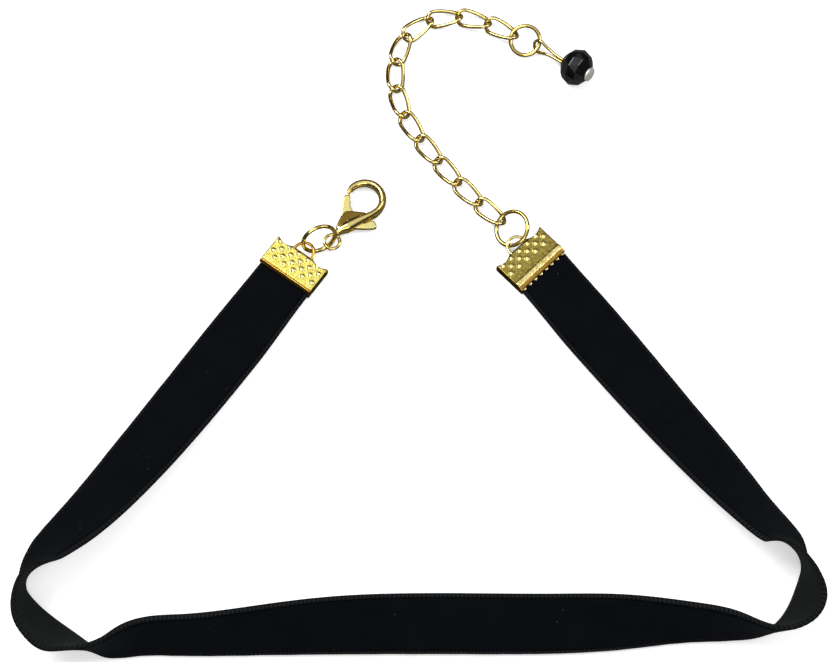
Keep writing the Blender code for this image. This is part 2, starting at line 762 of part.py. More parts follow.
def add_bead(place, material, parent):
    """The drilled bead, its hole along x."""
    bm = bmesh.new()
    rings = []
    for x, radius, shift in bead_rings():
        turns = (np.arange(BEAD_SIDES) + shift) * 2 * math.pi / BEAD_SIDES
        rings.append([bm.verts.new((x, radius * math.cos(t), radius * math.sin(t))) for t in turns])
    for row, (ring, after) in enumerate(zip(rings, rings[1:])):
        for i in range(BEAD_SIDES):
            j = (i + 1) % BEAD_SIDES
            if row % 2 == 0:
                bm.faces.new((ring[i], ring[j], after[i]))
                bm.faces.new((ring[j], after[j], after[i]))
            else:
                bm.faces.new((ring[i], ring[j], after[j]))
                bm.faces.new((ring[i], after[j], after[i]))
    bores = []
    for x, side in ((BEAD_THICKNESS / 2, 0), (-BEAD_THICKNESS / 2, -1)):
        turns = np.arange(BEAD_SIDES) * 2 * math.pi / BEAD_SIDES
        radius = BEAD_HOLE / 2
        bore = [bm.verts.new((x, radius * math.cos(t), radius * math.sin(t))) for t in turns]
        bores.append(bore)
        for i in range(BEAD_SIDES):
            j = (i + 1) % BEAD_SIDES
            bm.faces.new((rings[side][i], rings[side][j], bore[j], bore[i]))
    for i in range(BEAD_SIDES):
        j = (i + 1) % BEAD_SIDES
        bm.faces.new((bores[0][i], bores[0][j], bores[1][j], bores[1][i]))
    mesh = build_mesh("bead", bm)
    mesh.shade_flat()
    return add_object("bead", mesh, material, parent, place)


def add_drop_pin(place, material, parent):
    """Head pin through the bead, bent round into a teardrop loop."""
    shank_end = -BEAD_THICKNESS / 2 - 0.5
    loop_middle = -BEAD_THICKNESS / 2 - DROP_LOOP_LENGTH + DROP_LOOP_RADIUS
    roll = math.radians(DROP_LOOP_ROLL)
    flat = [(BEAD_THICKNESS / 2 + CLEARANCE, 0.0), (shank_end, 0.0)]
    for turn in np.linspace(60, 300, 11):
        angle = math.radians(turn)
        flat.append(
            (loop_middle + DROP_LOOP_RADIUS * math.cos(angle), DROP_LOOP_RADIUS * math.sin(angle))
        )
    flat.append((shank_end - 0.1, -(PIN_WIRE + CLEARANCE)))
    points = [Vector((x, y * math.cos(roll), y * math.sin(roll))) for x, y in flat]
    heading = np.gradient(np.array([tuple(point) for point in points]), axis=0)
    plane = Vector((0, -math.sin(roll), math.cos(roll)))
    bm = bmesh.new()
    sections = []
    head = PIN_HEAD_DIAMETER / 2
    start = BEAD_THICKNESS / 2 + CLEARANCE
    for x, radius in (
        (start + PIN_HEAD_THICKNESS, 0.8 * head),
        (start + 0.7 * PIN_HEAD_THICKNESS, head),
        (start, head),
        (start - 0.001, PIN_WIRE / 2),
    ):
        sections.append((Vector((x, 0, 0)), Vector((-1, 0, 0)), radius))
    for point, direction in zip(points[1:], heading[1:]):
        sections.append((point, Vector(direction).normalized(), PIN_WIRE / 2))
    rings = []
    for point, direction, radius in sections:
        side = direction.cross(plane).normalized()
        up = side.cross(direction)
        turns = np.linspace(0, 2 * math.pi, 8, endpoint=False)
        rings.append([point + radius * (math.cos(t) * side + math.sin(t) * up) for t in turns])
    loft(bm, rings)
    return add_object("drop_pin", build_mesh("drop_pin", bm), material, parent, place)


def level_heading(bearing):
    """A level unit vector at a bearing in degrees."""
    return Vector((math.cos(math.radians(bearing)), math.sin(math.radians(bearing)), 0))


def add_drop(contact, link_heading, gold, black, parent):
    """Jump ring, head pin and bead at the chain's end."""
    radius = (DROP_RING_DIAMETER - RING_WIRE) / 2
    middle = contact + link_heading * (radius - (RING_WIRE + RING_SLACK) / 2)
    bearing = math.degrees(math.atan2(link_heading[1], link_heading[0]))
    ring = Ring(middle, bearing, DROP_RING_TILT, DROP_RING_DIAMETER)
    ring.add("ring_drop", gold, parent)
    pitch = math.radians(DROP_PITCH)
    out = level_heading(bearing + DROP_TURN)
    axis = math.cos(pitch) * level_heading(bearing + DROP_AXIS_TURN)
    axis += math.sin(pitch) * Vector((0, 0, 1))
    height = BEAD_DIAMETER / 2 * math.cos(pitch)
    distance = radius + BEAD_THICKNESS / 2 + DROP_LOOP_LENGTH - DROP_LOOP_RADIUS
    place = Vector((middle[0], middle[1], 0)) + out * distance + Vector((0, 0, height))
    matrix = frame_matrix(place, axis)
    add_bead(matrix, black, parent)
    add_drop_pin(matrix, gold, parent)


def centre_on_floor(root):
    """Moves the whole so that its box is centred over the origin and stands on the floor."""
    bpy.context.view_layer.update()
    graph = bpy.context.evaluated_depsgraph_get()
    corners = []
    for obj in bpy.data.objects:
        if obj.type == "EMPTY" or obj.hide_render:
            continue
        evaluated = obj.evaluated_get(graph)
        mesh = evaluated.to_mesh()
        corners.extend(evaluated.matrix_world @ vertex.co for vertex in mesh.vertices)
        evaluated.to_mesh_clear()
    points = np.array(corners)
    low, high = points.min(axis=0), points.max(axis=0)
    root.location = (-(low[0] + high[0]) / 2, -(low[1] + high[1]) / 2, -low[2])


def main():
    """Builds the choker."""
    clear_scene()
    velvet = make_material("velvet", (0.006, 0.008, 0.010), 0.95, 0.0)
    gold = make_material("gold", (0.83, 0.68, 0.27), 0.22, 1.0)
    black = make_material("black_glass", (0.01, 0.01, 0.012), 0.06, 0.0)
    root = bpy.data.objects.new("choker", None)
    COLLECTION.objects.link(root)
    shape = RibbonShape()
    add_ribbon(shape, velvet, root)
    left = crimp_frame(*shape.mouth(last=False), LEFT_CRIMP_TURN, LEFT_CRIMP_LENGTH)
    right = crimp_frame(*shape.mouth(last=True), RIGHT_CRIMP_TURN, RIGHT_CRIMP_LENGTH)
    add_crimp("crimp_left", left, LEFT_CRIMP_LENGTH, LEFT_CRIMP_LIP, False, gold, root)
    add_crimp("crimp_right", right, RIGHT_CRIMP_LENGTH, RIGHT_CRIMP_LIP, True, gold, root)

    clasp_ring = Ring((0, 0), CLASP_RING_BEARING, CLASP_RING_TILT, CLASP_RING_DIAMETER)
    hole = left @ Vector(((CRIMP_LOOP_REACH - CRIMP_LOOP_BAR) / 2 * MM, 0, 0)) / MM
    start = hole - clasp_ring.offset(loop_level(), -1)
    clasp_ring.middle.x, clasp_ring.middle.y = start.x, start.y
    clasp_ring.add("ring_clasp", gold, root)
    eye = clasp_ring.middle + clasp_ring.offset(CLASP_HEIGHT / 2, 1)
    bearing = math.radians(CLASP_BEARING)
    clasp = frame_matrix((eye.x, eye.y, 0.0), (math.cos(bearing), math.sin(bearing), 0.0))
    add_clasp_body(clasp, gold, root)
    add_clasp_pin(clasp, gold, root)
    add_lever(clasp, gold, root)

    middle = right @ (Vector((CHAIN_RING_ALONG, CHAIN_RING_SIDE, 0)) * MM) / MM
    chain_ring = Ring(
        middle, CHAIN_RING_RISE_BEARING - 90, CHAIN_RING_TILT, CHAIN_RING_DIAMETER
    )
    chain_ring.add("ring_chain", gold, root)
    contact, heading = add_chain(chain_ring, gold, root)
    add_drop(contact, heading, gold, black, root)
    centre_on_floor(root)


main()
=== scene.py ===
"""Looks of a velvet ribbon choker with gold crimps, a lobster clasp and an extension chain.

Shapes are laid out in millimetres, in the frame that the choker was drawn in. Sketch.mesh turns
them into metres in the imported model's frame.
"""

import logging
import math
from dataclasses import dataclass, field
from enum import Enum, IntEnum
from typing import Any, Sequence

import bmesh
import bpy
import numpy as np
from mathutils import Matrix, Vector

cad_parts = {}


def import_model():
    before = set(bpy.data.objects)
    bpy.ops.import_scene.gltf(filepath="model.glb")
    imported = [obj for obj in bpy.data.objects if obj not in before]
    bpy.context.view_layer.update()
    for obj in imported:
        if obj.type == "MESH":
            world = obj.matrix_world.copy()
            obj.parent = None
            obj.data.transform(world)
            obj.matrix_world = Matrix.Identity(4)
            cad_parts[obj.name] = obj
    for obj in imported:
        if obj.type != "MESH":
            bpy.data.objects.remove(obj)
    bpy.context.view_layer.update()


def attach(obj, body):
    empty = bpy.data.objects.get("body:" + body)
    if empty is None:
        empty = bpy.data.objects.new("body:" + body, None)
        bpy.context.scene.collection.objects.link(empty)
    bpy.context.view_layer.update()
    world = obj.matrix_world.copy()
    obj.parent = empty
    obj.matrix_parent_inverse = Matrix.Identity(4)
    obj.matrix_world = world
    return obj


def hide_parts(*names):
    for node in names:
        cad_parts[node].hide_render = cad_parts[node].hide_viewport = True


Colour = tuple[float, float, float]
Points = np.ndarray

MM = 0.001
UP = np.array([0.0, 0.0, 1.0])
UV_UNIT = 10.0
CLEARANCE = 0.1
CHOKER_BODY = "choker"
LEVER_BODY = "lever"

log = logging.getLogger("choker")


# Shapes shared by several pieces


def natural_spline(knots: Sequence[float], values: Points, places: Points) -> Points:
    """The natural cubic spline through values, straight beyond its ends.

    Args:
        knots: place of each value, rising.
        values: one row of numbers for each knot.
        places: where to read the spline.

    Returns:
        One row of numbers for each place.
    """
    knots = np.asarray(knots, float)
    values = np.asarray(values, float)
    count = len(knots)
    steps = np.diff(knots)
    slopes = np.diff(values, axis=0) / steps[:, None]
    system = np.eye(count)
    right = np.zeros_like(values)
    for i in range(1, count - 1):
        system[i, i - 1 : i + 2] = steps[i - 1], 2 * (steps[i - 1] + steps[i]), steps[i]
        right[i] = 6 * (slopes[i] - slopes[i - 1])
    bends = np.linalg.solve(system, right)
    within = np.clip(places, knots[0], knots[-1])
    i = np.clip(np.searchsorted(knots, within, side="right") - 1, 0, count - 2)
    step = steps[i][:, None]
    after = (within - knots[i])[:, None] / step
    before = 1 - after
    cubic = (before**3 - before) * bends[i] + (after**3 - after) * bends[i + 1]
    inside = before * values[i] + after * values[i + 1] + cubic * step**2 / 6
    first = slopes[0] - steps[0] * bends[1] / 6
    last = slopes[-1] + steps[-1] * bends[-2] / 6
    beyond = (np.asarray(places) - within)[:, None]
    return inside + beyond * np.where(beyond < 0, first, last)


def chord_lengths(points: Points) -> Points:
    """Distance along the straight runs between points.

    Args:
        points: the points in order.

    Returns:
        The distance from the first point to each.
    """
    runs = np.linalg.norm(np.diff(np.asarray(points, float), axis=0), axis=1)
    return np.concatenate([[0.0], np.cumsum(runs)])


def smooth_step(share: Points) -> Points:
    """Eases a share of 0 to 1, level at both ends."""
    share = np.clip(share, 0.0, 1.0)
    return share * share * (3 - 2 * share)


def unit(vectors: Points) -> Points:
    """The vectors at length 1."""
    return vectors / np.linalg.norm(vectors, axis=-1, keepdims=True)


def level(bearing: float) -> Points:
    """A level unit vector at a bearing in degrees."""
    return np.array([math.cos(math.radians(bearing)), math.sin(math.radians(bearing)), 0.0])


def full_turn(count: int) -> Points:
    """Angles of equal steps once round."""
    return np.linspace(0, 2 * math.pi, count, endpoint=False)


def turn_frame(x_axis: Points, z_axis: Points = UP) -> Points:
    """A turn whose first axis is kept, and whose last is squared to it.

    Args:
        x_axis: direction of the first axis.
        z_axis: direction that the last axis leans towards.

    Returns:
        The three axes as rows.
    """
    x = unit(np.asarray(x_axis, float))
    y = unit(np.cross(z_axis, x))
    return np.array([x, y, np.cross(x, y)])


@dataclass(frozen=True)
class Frame:
    """Where a piece's own axes lie in the layout: an origin and three axes as rows."""

    origin: Points
    axes: Points

    def out(self, points: Points) -> Points:
        """Points of the piece's own frame, in the layout."""
        return self.origin + np.asarray(points, float) @ self.axes


class Sketch:
    """Points and faces of one piece in layout millimetres, with a finish number and UV corners."""

    def __init__(self) -> None:
        """Starts with nothing drawn."""
        self.points: list[Sequence[float]] = []
        self.faces: list[tuple[int, ...]] = []
        self.finishes: list[int] = []
        self.corners: list[tuple[float, float]] = []

    def grid(
        self,
        rows: Points,
        finish: int | Sequence[int] | Points = 0,
        wrap: bool = False,
        caps: bool = False,
        marks: Points | None = None,
    ) -> None:
        """Joins rows of points with quads. Each row is closed on itself.

        Args:
            rows: array of rows, of points in a row, of three numbers.
            finish: finish number of all faces, of the faces after each point of a row, or of each face.
            wrap: joins the last row to the first.
            caps: closes the first and the last row with a face.
            marks: UV of every point, as array of rows, points and two numbers.
        """
        start = len(self.points)
        count, around = rows.shape[:2]
        self.points.extend(map(tuple, rows.reshape(-1, 3)))
        kinds = np.broadcast_to(finish, (count, around)).tolist()
        for i in range(count if wrap else count - 1):
            after = (i + 1) % count
            for j in range(around):
                beside = (j + 1) % around
                cells = ((i, j), (i, beside), (after, beside), (after, j))
                self.faces.append(tuple(start + a * around + b for a, b in cells))
                self.finishes.append(kinds[i][j])
                self.corners.extend((0.0, 0.0) if marks is None else tuple(marks[c]) for c in cells)
        if caps:
            for i in (0, count - 1):
                self.faces.append(tuple(start + i * around + j for j in range(around)))
                self.finishes.append(kinds[i][0])
                self.corners.extend([(0.0, 0.0)] * around)

    def mesh(self, name: str, sharp: float) -> bpy.types.Mesh:
        """The drawn faces as a mesh in metres, facing out.

        Args:
            name: name of the mesh.
            sharp: angle in degrees from which an edge stays sharp.

        Returns:
            The mesh.
        """
        mesh = bpy.data.meshes.new(name)
        places = (np.array(self.points) + Layout.SHIFT) * MM
        mesh.from_pydata(places.tolist(), [], self.faces)
        mesh.polygons.foreach_set("material_index", self.finishes)
        marks = mesh.uv_layers.new(name="surface")
        marks.data.foreach_set("uv", np.array(self.corners, float).ravel())
        made = bmesh.new()
        made.from_mesh(mesh)
        bmesh.ops.recalc_face_normals(made, faces=made.faces)
        made.to_mesh(mesh)
        made.free()
        mesh.shade_smooth()
        mesh.set_sharp_from_angle(angle=math.radians(sharp))
        return mesh

    def piece(
        self,
        name: str,
        finishes: Sequence[bpy.types.Material],
        slot: str,
        stands_for: Sequence[str],
        body: str = CHOKER_BODY,
        sharp: float = 40.0,
    ) -> bpy.types.Object:
        """Links the drawn faces as a piece that rides on a body.

        Args:
            name: the piece's name.
            finishes: materials in the order of the finish numbers.
            slot: the record's material slot; not used.
            stands_for: the solids that it takes the place of.
            body: the body that it moves with.
            sharp: angle in degrees from which an edge stays sharp.

        Returns:
            The piece.
        """
        obj = bpy.data.objects.new(name, self.mesh(name, sharp))
        return dress(obj, finishes, stands_for, body)


def link(obj: bpy.types.Object) -> bpy.types.Object:
    """Links an object to the scene."""
    bpy.context.scene.collection.objects.link(obj)
    return obj


def dress(
    obj: bpy.types.Object,
    finishes: Sequence[bpy.types.Material],
    stands_for: Sequence[str],
    body: str = CHOKER_BODY,
) -> bpy.types.Object:
    """Links a piece, gives it its finishes and ties it to its body.

    Args:
        obj: the piece.
        finishes: its materials.
        stands_for: the solids that it takes the place of.
        body: the body that it moves with.

    Returns:
        The same piece.
    """
    if obj.name not in bpy.context.scene.collection.objects:
        link(obj)
    for finish in finishes:
        obj.data.materials.append(finish)
    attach(obj, body)
    if stands_for:
        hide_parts(*stands_for)
    log.info("%s: %d faces", obj.name, len(obj.data.polygons))
    return obj


@dataclass(frozen=True)
class Wire:
    """A round wire along a line, with a direction across it at each point.

    A cut end is eased by rings of a share of the wire's size, each a share of it further on.
    """

    line: Points
    outward: Points
    diameter: float
    closed: bool = True
    sides: int = 16
    end_ease: tuple[tuple[float, float], ...] = ((0.93, 0.03), (0.8, 0.05))

    def rows(self) -> Points:
        """Rings of points round the wire.

        Returns:
            One ring for each point of the line.
        """
        if self.closed:
            heading = np.roll(self.line, -1, axis=0) - np.roll(self.line, 1, axis=0)
        else:
            heading = np.gradient(self.line, axis=0)
        heading = unit(heading)
        outward = np.asarray(self.outward, float)
        across = unit(outward - (outward * heading).sum(axis=1)[:, None] * heading)
        aside = np.cross(heading, across)
        turns = full_turn(self.sides)
        radius = self.diameter / 2
        rim = np.cos(turns)[None, :, None] * across[:, None] + np.sin(turns)[None, :, None] * aside[:, None]
        return self.line[:, None] + radius * rim

    def draw(self, sketch: Sketch, finish: int = 0) -> None:
        """Adds the wire to a sketch, its cut ends a little rounded.

        Args:
            sketch: the sketch to draw in.
            finish: finish number of its faces.
        """
        rows = self.rows()
        if self.closed:
            sketch.grid(rows, finish, wrap=True)
            return
        ends = []
        for row, before in ((rows[0], rows[1]), (rows[-1], rows[-2])):
            middle = row.mean(axis=0)
            step = unit(middle - before.mean(axis=0)) * self.diameter
            ends.append([middle + (row - middle) * share + step * reach for share, reach in self.end_ease])
        rows = np.concatenate([[ends[0][1], ends[0][0]], rows, ends[1]])
        sketch.grid(rows, finish, caps=True)


# Finishes


class Side(Enum):
    """The two ends of the ribbon, as the camera sees them."""

    LEFT = "left"
    RIGHT = "right"


class Cloth(IntEnum):
    """Finish numbers of the ribbon."""

    PILE = 0
    BACK = 1
    SELVAGE = 2


class Plate(IntEnum):
    """Finish numbers of a crimp."""

    SHEET = 0
    LIP = 1
    # The dots' finish is a painted highlight.
    DOT = 2
    # Painted shade at a toothed mouth.
    BROWN = 3


class NodeSheet:
    """The nodes of one material or group."""

    def __init__(self, tree: bpy.types.NodeTree) -> None:
        """Starts on an emptied tree."""
        self.tree = tree
        tree.nodes.clear()

    def add(self, kind: str, inputs: dict[str, Any] | None = None, **settings: Any) -> bpy.types.Node:
        """Adds a node.

        Args:
            kind: Blender's name of the node's type.
            inputs: value, or socket to join, of each named input.
            settings: the node's own properties.

        Returns:
            The node.
        """
        node = self.tree.nodes.new(kind)
        for name, value in settings.items():
            setattr(node, name, value)
        for name, value in (inputs or {}).items():
            self.feed(node.inputs[name], value)
        return node

    def feed(self, socket: bpy.types.NodeSocket, value: Any) -> None:
        """Joins a socket to another, or sets its value.

        Args:
            socket: the input to feed.
            value: value or socket.
        """
        if isinstance(value, bpy.types.NodeSocket):
            self.tree.links.new(value, socket)
        else:
            socket.default_value = value

    def math(self, operation: str, first: Any, second: Any = 0.0) -> bpy.types.NodeSocket:
        """The result of a sum of two values.

        Args:
            operation: Blender's name of the operation.
            first: value or socket.
            second: value or socket.

        Returns:
            The result's socket.
        """
        node = self.add("ShaderNodeMath", operation=operation)
        self.feed(node.inputs[0], first)
        self.feed(node.inputs[1], second)
        return node.outputs[0]

    def span(
        self, value: Any, low: float, high: float, to_low: float = 0.0, to_high: float = 1.0
    ) -> bpy.types.NodeSocket:
        """A value moved from one span to another and held inside it.

        Args:
            value: value or socket.
            low: start of its span.
            high: end of its span.
            to_low: start of the new span.
            to_high: end of the new span.

        Returns:
            The result's socket.
        """
        inputs = {"Value": value, "From Min": low, "From Max": high, "To Min": to_low, "To Max": to_high}
        return self.add("ShaderNodeMapRange", inputs, clamp=True).outputs[0]

    def mix(self, share: Any, first: Any, second: Any) -> bpy.types.NodeSocket:
        """Two colours mixed by a share.

        Args:
            share: value or socket, 0 for the first colour.
            first: colour or socket.
            second: colour or socket.

        Returns:
            The mixed colour's socket.
        """
        node = self.add("ShaderNodeMix", data_type="RGBA")
        self.feed(node.inputs[0], share)
        self.feed(node.inputs[6], first if isinstance(first, bpy.types.NodeSocket) else (*first, 1.0))
        self.feed(node.inputs[7], second if isinstance(second, bpy.types.NodeSocket) else (*second, 1.0))
        return node.outputs[2]

    def principled(self, inputs: dict[str, Any]) -> bpy.types.Node:
        """The material's own shader, joined to its output.

        Args:
            inputs: value, or socket to join, of each named input.

        Returns:
            The shader's node.
        """
        shader = self.add("ShaderNodeBsdfPrincipled", inputs)
        self.add("ShaderNodeOutputMaterial", {"Surface": shader.outputs[0]})
        return shader

    def bump(self, height: Any, strength: float, depth: float) -> bpy.types.NodeSocket:
        """A bumped normal.

        Args:
            height: socket of the height.
            strength: how strongly it shows.
            depth: metres between the lowest and the highest.

        Returns:
            The normal's socket.
        """
        inputs = {"Height": height, "Strength": strength, "Distance": depth}
        return self.add("ShaderNodeBump", inputs).outputs[0]


def new_material(name: str) -> tuple[bpy.types.Material, NodeSheet]:
    """Starts a material.

    Args:
        name: its name.

    Returns:
        The material and its emptied nodes.
    """
    material = bpy.data.materials.new(name)
    material.use_nodes = True
    return material, NodeSheet(material.node_tree)


class Effects:
    """Node groups that several finishes use, each built once."""

    def __init__(self) -> None:
        """Builds the groups."""
        self.plating = self.build_plating()
        self.fibres = self.build_fibres()

    def begin(
        self, name: str, inputs: Sequence[tuple[str, float]], outputs: Sequence[str]
    ) -> tuple[Any, NodeSheet, Any, Any]:
        """Starts a group with value sockets.

        Args:
            name: the group's name.
            inputs: name and usual value of each input.
            outputs: name of each output.

        Returns:
            The group, its nodes, its input node and its output node.
        """
        group = bpy.data.node_groups.new(name, "ShaderNodeTree")
        for label, value in inputs:
            socket = group.interface.new_socket(label, in_out="INPUT", socket_type="NodeSocketFloat")
            socket.default_value = value
        for label in outputs:
            group.interface.new_socket(label, in_out="OUTPUT", socket_type="NodeSocketFloat")
        sheet = NodeSheet(group)
        return group, sheet, sheet.add("NodeGroupInput"), sheet.add("NodeGroupOutput")

    def build_plating(self) -> bpy.types.NodeTree:
        """Soft mottle and fine drawn lines of polished plating, their size set by the input Grain.

        Returns:
            The group.
        """
        group, sheet, given, result = self.begin("plating_wear", [("Grain", 1.0)], ["Mottle", "Lines"])
        place = sheet.add("ShaderNodeTexCoord").outputs["Object"]
        broad = sheet.add("ShaderNodeTexNoise", {"Vector": place, "Detail": 3.0, "Roughness": 0.55})
        sheet.feed(broad.inputs["Scale"], sheet.math("MULTIPLY", given.outputs["Grain"], 700.0))
        drawn = {"Vector": place, "Detail": 2.0, "Roughness": 0.5, "Distortion": 0.6}
        fine = sheet.add("ShaderNodeTexNoise", drawn)
        sheet.feed(fine.inputs["Scale"], sheet.math("MULTIPLY", given.outputs["Grain"], 5200.0))
        sheet.feed(result.inputs["Mottle"], sheet.span(broad.outputs["Fac"], 0.32, 0.68))
        sheet.feed(result.inputs["Lines"], sheet.span(fine.outputs["Fac"], 0.3, 0.7))
        return group

    def build_fibres(self) -> bpy.types.NodeTree:
        """Fibre ends, their slow drift in shade, and stray lint, from the cloth's UV.

        Returns:
            The group.
        """
        outputs = ["Ends", "Drift", "Lint"]
        group, sheet, given, result = self.begin("cloth_fibres", [("Density", 1.0)], outputs)
        cloth = sheet.add("ShaderNodeTexCoord").outputs["UV"]
        ends = sheet.add("ShaderNodeTexNoise", {"Vector": cloth, "Detail": 3.0, "Roughness": 0.7})
        sheet.feed(ends.inputs["Scale"], sheet.math("MULTIPLY", given.outputs["Density"], 62.0))
        slow = {"Vector": cloth, "Scale": 1.7, "Detail": 4.0, "Roughness": 0.6}
        drift = sheet.add("ShaderNodeTexNoise", slow)
        specks = sheet.add("ShaderNodeTexVoronoi", {"Vector": cloth, "Scale": 6.0, "Randomness": 1.0})
        sparse = sheet.add("ShaderNodeTexNoise", {"Vector": cloth, "Scale": 2.3, "Detail": 1.0})
        near = sheet.span(specks.outputs["Distance"], 0.03, 0.07, 1.0, 0.0)
        chosen = sheet.span(sparse.outputs["Fac"], 0.56, 0.6)
        sheet.feed(result.inputs["Ends"], ends.outputs["Fac"])
        sheet.feed(result.inputs["Drift"], sheet.span(drift.outputs["Fac"], 0.35, 0.68))
        sheet.feed(result.inputs["Lint"], sheet.math("MULTIPLY", near, chosen))
        return group


@dataclass(frozen=True)
class PlatedMetal:
    """Polished plating: pale gold in several tones, among them lit and shaded copies with painted light or
    shade, or the pin head's silver.
    """

    name: str
    colour: Colour
    shade: Colour
    roughness: float
    grain: float = 1.0
    relief: float = 0.12
    edge: Colour = (0.30, 0.20, 0.08)

    def build(self, effects: Effects) -> bpy.types.Material:
        """The material, from the shared plating group.

        Args:
            effects: the shared node groups.

        Returns:
            The material.
        """
        material, sheet = new_material(self.name)
        wear = sheet.add("ShaderNodeGroup", node_tree=effects.plating)
        wear.inputs["Grain"].default_value = self.grain
        mottle, lines = wear.outputs["Mottle"], wear.outputs["Lines"]
        worn = sheet.span(mottle, 0, 1, self.roughness * 0.8, self.roughness * 1.25)
        rough = sheet.math("ADD", worn, sheet.span(lines, 0, 1, 0, 0.03))
        sheet.principled(
            {
                "Base Color": sheet.mix(mottle, self.colour, self.shade),
                "Metallic": 1.0,
                "Roughness": rough,
                "Specular Tint": (*self.edge, 1.0),
                "Normal": sheet.bump(lines, self.relief, 0.00001),
            }
        )
        return material


@dataclass(frozen=True)
class VelvetPile:
    """Short black pile, a little lighter where it is seen edge-on."""

    name: str = "velvet_pile"
    colour: Colour = (0.0016, 0.0020, 0.0030)
    crushed: Colour = (0.0046, 0.0054, 0.0074)
    lint: Colour = (0.10, 0.11, 0.12)
    sheen: float = 0.035

    def build(self, effects: Effects) -> bpy.types.Material:
        """The material, from the shared fibre group.

        Args:
            effects: the shared node groups.

        Returns:
            The material.
        """
        material, sheet = new_material(self.name)
        fibres = sheet.add("ShaderNodeGroup", node_tree=effects.fibres)
        ends, drift, lint = (fibres.outputs[name] for name in ("Ends", "Drift", "Lint"))
        share = sheet.math("MULTIPLY", sheet.span(ends, 0.35, 0.7), sheet.span(drift, 0, 1, 0.35, 1.0))
        pile = sheet.mix(share, self.colour, self.crushed)
        sheet.principled(
            {
                "Base Color": sheet.mix(sheet.math("MULTIPLY", lint, 0.5), pile, self.lint),
                "Roughness": sheet.span(ends, 0.3, 0.7, 0.9, 1.0),
                "Specular IOR Level": 0.04,
                "Sheen Weight": self.sheen,
                "Sheen Roughness": 0.35,
                "Sheen Tint": (0.55, 0.62, 0.66, 1.0),
                "Normal": sheet.bump(ends, 0.5, 0.00012),
            }
        )
        return material


@dataclass(frozen=True)
class WovenCloth:
    """Fine slanting ribs of the ribbon's back, or the cross threads of its edges."""

    name: str
    thread: Colour
    gap: Colour
    pitch: float
    slant: float
    relief: float
    sheen: float = 0.15

    def build(self, effects: Effects) -> bpy.types.Material:
        """The material: ribs at the pitch, with the shared fibres over them.

        Args:
            effects: the shared node groups.

        Returns:
            The material.
        """
        material, sheet = new_material(self.name)
        fibres = sheet.add("ShaderNodeGroup", node_tree=effects.fibres)
        fibres.inputs["Density"].default_value = 1.6
        cloth = sheet.add("ShaderNodeTexCoord").outputs["UV"]
        slant = (0.0, 0.0, math.radians(self.slant))
        turned = sheet.add("ShaderNodeMapping", {"Vector": cloth, "Rotation": slant})
        scale = math.pi / self.pitch
        wave = {"Vector": turned.outputs[0], "Scale": scale, "Distortion": 0.25, "Detail Scale": 3.0}
        ribs = sheet.add("ShaderNodeTexWave", wave)
        rib = sheet.span(ribs.outputs["Fac"], 0.15, 0.85)
        shade = sheet.math("MULTIPLY", rib, sheet.span(fibres.outputs["Drift"], 0, 1, 0.6, 1.0))
        height = sheet.math("ADD", rib, sheet.math("MULTIPLY", fibres.outputs["Ends"], 0.35))
        sheet.principled(
            {
                "Base Color": sheet.mix(shade, self.gap, self.thread),
                "Roughness": sheet.span(rib, 0, 1, 0.9, 0.62),
                "Specular IOR Level": 0.12,
                "Sheen Weight": self.sheen,
                "Sheen Roughness": 0.4,
                "Sheen Tint": (0.6, 0.66, 0.66, 1.0),
                "Normal": sheet.bump(height, self.relief, 0.00008),
            }
        )
        return material


@dataclass(frozen=True)
class BlackGlass:
    """Polished opaque glass with faint smears of handling."""

    name: str = "black_glass_bead"
    colour: Colour = (0.0020, 0.0020, 0.0026)
    smear: Colour = (0.006, 0.006, 0.007)

    def build(self, effects: Effects) -> bpy.types.Material:
        """The material, its smears from the shared plating group.

        Args:
            effects: the shared node groups.

        Returns:
            The material.
        """
        material, sheet = new_material(self.name)
        wear = sheet.add("ShaderNodeGroup", node_tree=effects.plating)
        wear.inputs["Grain"].default_value = 0.6
        sheet.principled(
            {
                "Base Color": sheet.mix(wear.outputs["Mottle"], self.colour, self.smear),
                "Roughness": sheet.span(wear.outputs["Mottle"], 0, 1, 0.02, 0.07),
                "IOR": 1.58,
                "Specular IOR Level": 0.5,
            }
        )
        return material


@dataclass(frozen=True)
class PaleFloor:
    """The plain floor that the choker lies on."""

    name: str = "pale_floor"
    colour: Colour = (0.93, 0.93, 0.93)
    painted_reflection_shade: Colour = (0.16, 0.15, 0.14)
    lift: Colour = (0.42, 0.42, 0.42)

    def build(self) -> bpy.types.Material:
        """The matt material, painted dark where glossy rays see it, with an even glow for the camera.

        Returns:
            The material.
        """
        material, sheet = new_material(self.name)
        path = sheet.add("ShaderNodeLightPath").outputs
        # Painted shade in reflections: glossy rays see the floor dark, which darkens the metal's mirrored
        # edges.
        shade = sheet.mix(path["Is Glossy Ray"], self.colour, self.painted_reflection_shade)
        glow = sheet.mix(path["Is Camera Ray"], (0.0, 0.0, 0.0), self.lift)
        sheet.principled(
            {
                "Base Color": shade,
                "Roughness": 0.85,
                "Specular IOR Level": 0.1,
                "Emission Color": glow,
                "Emission Strength": 1.0,
            }
        )
        return material


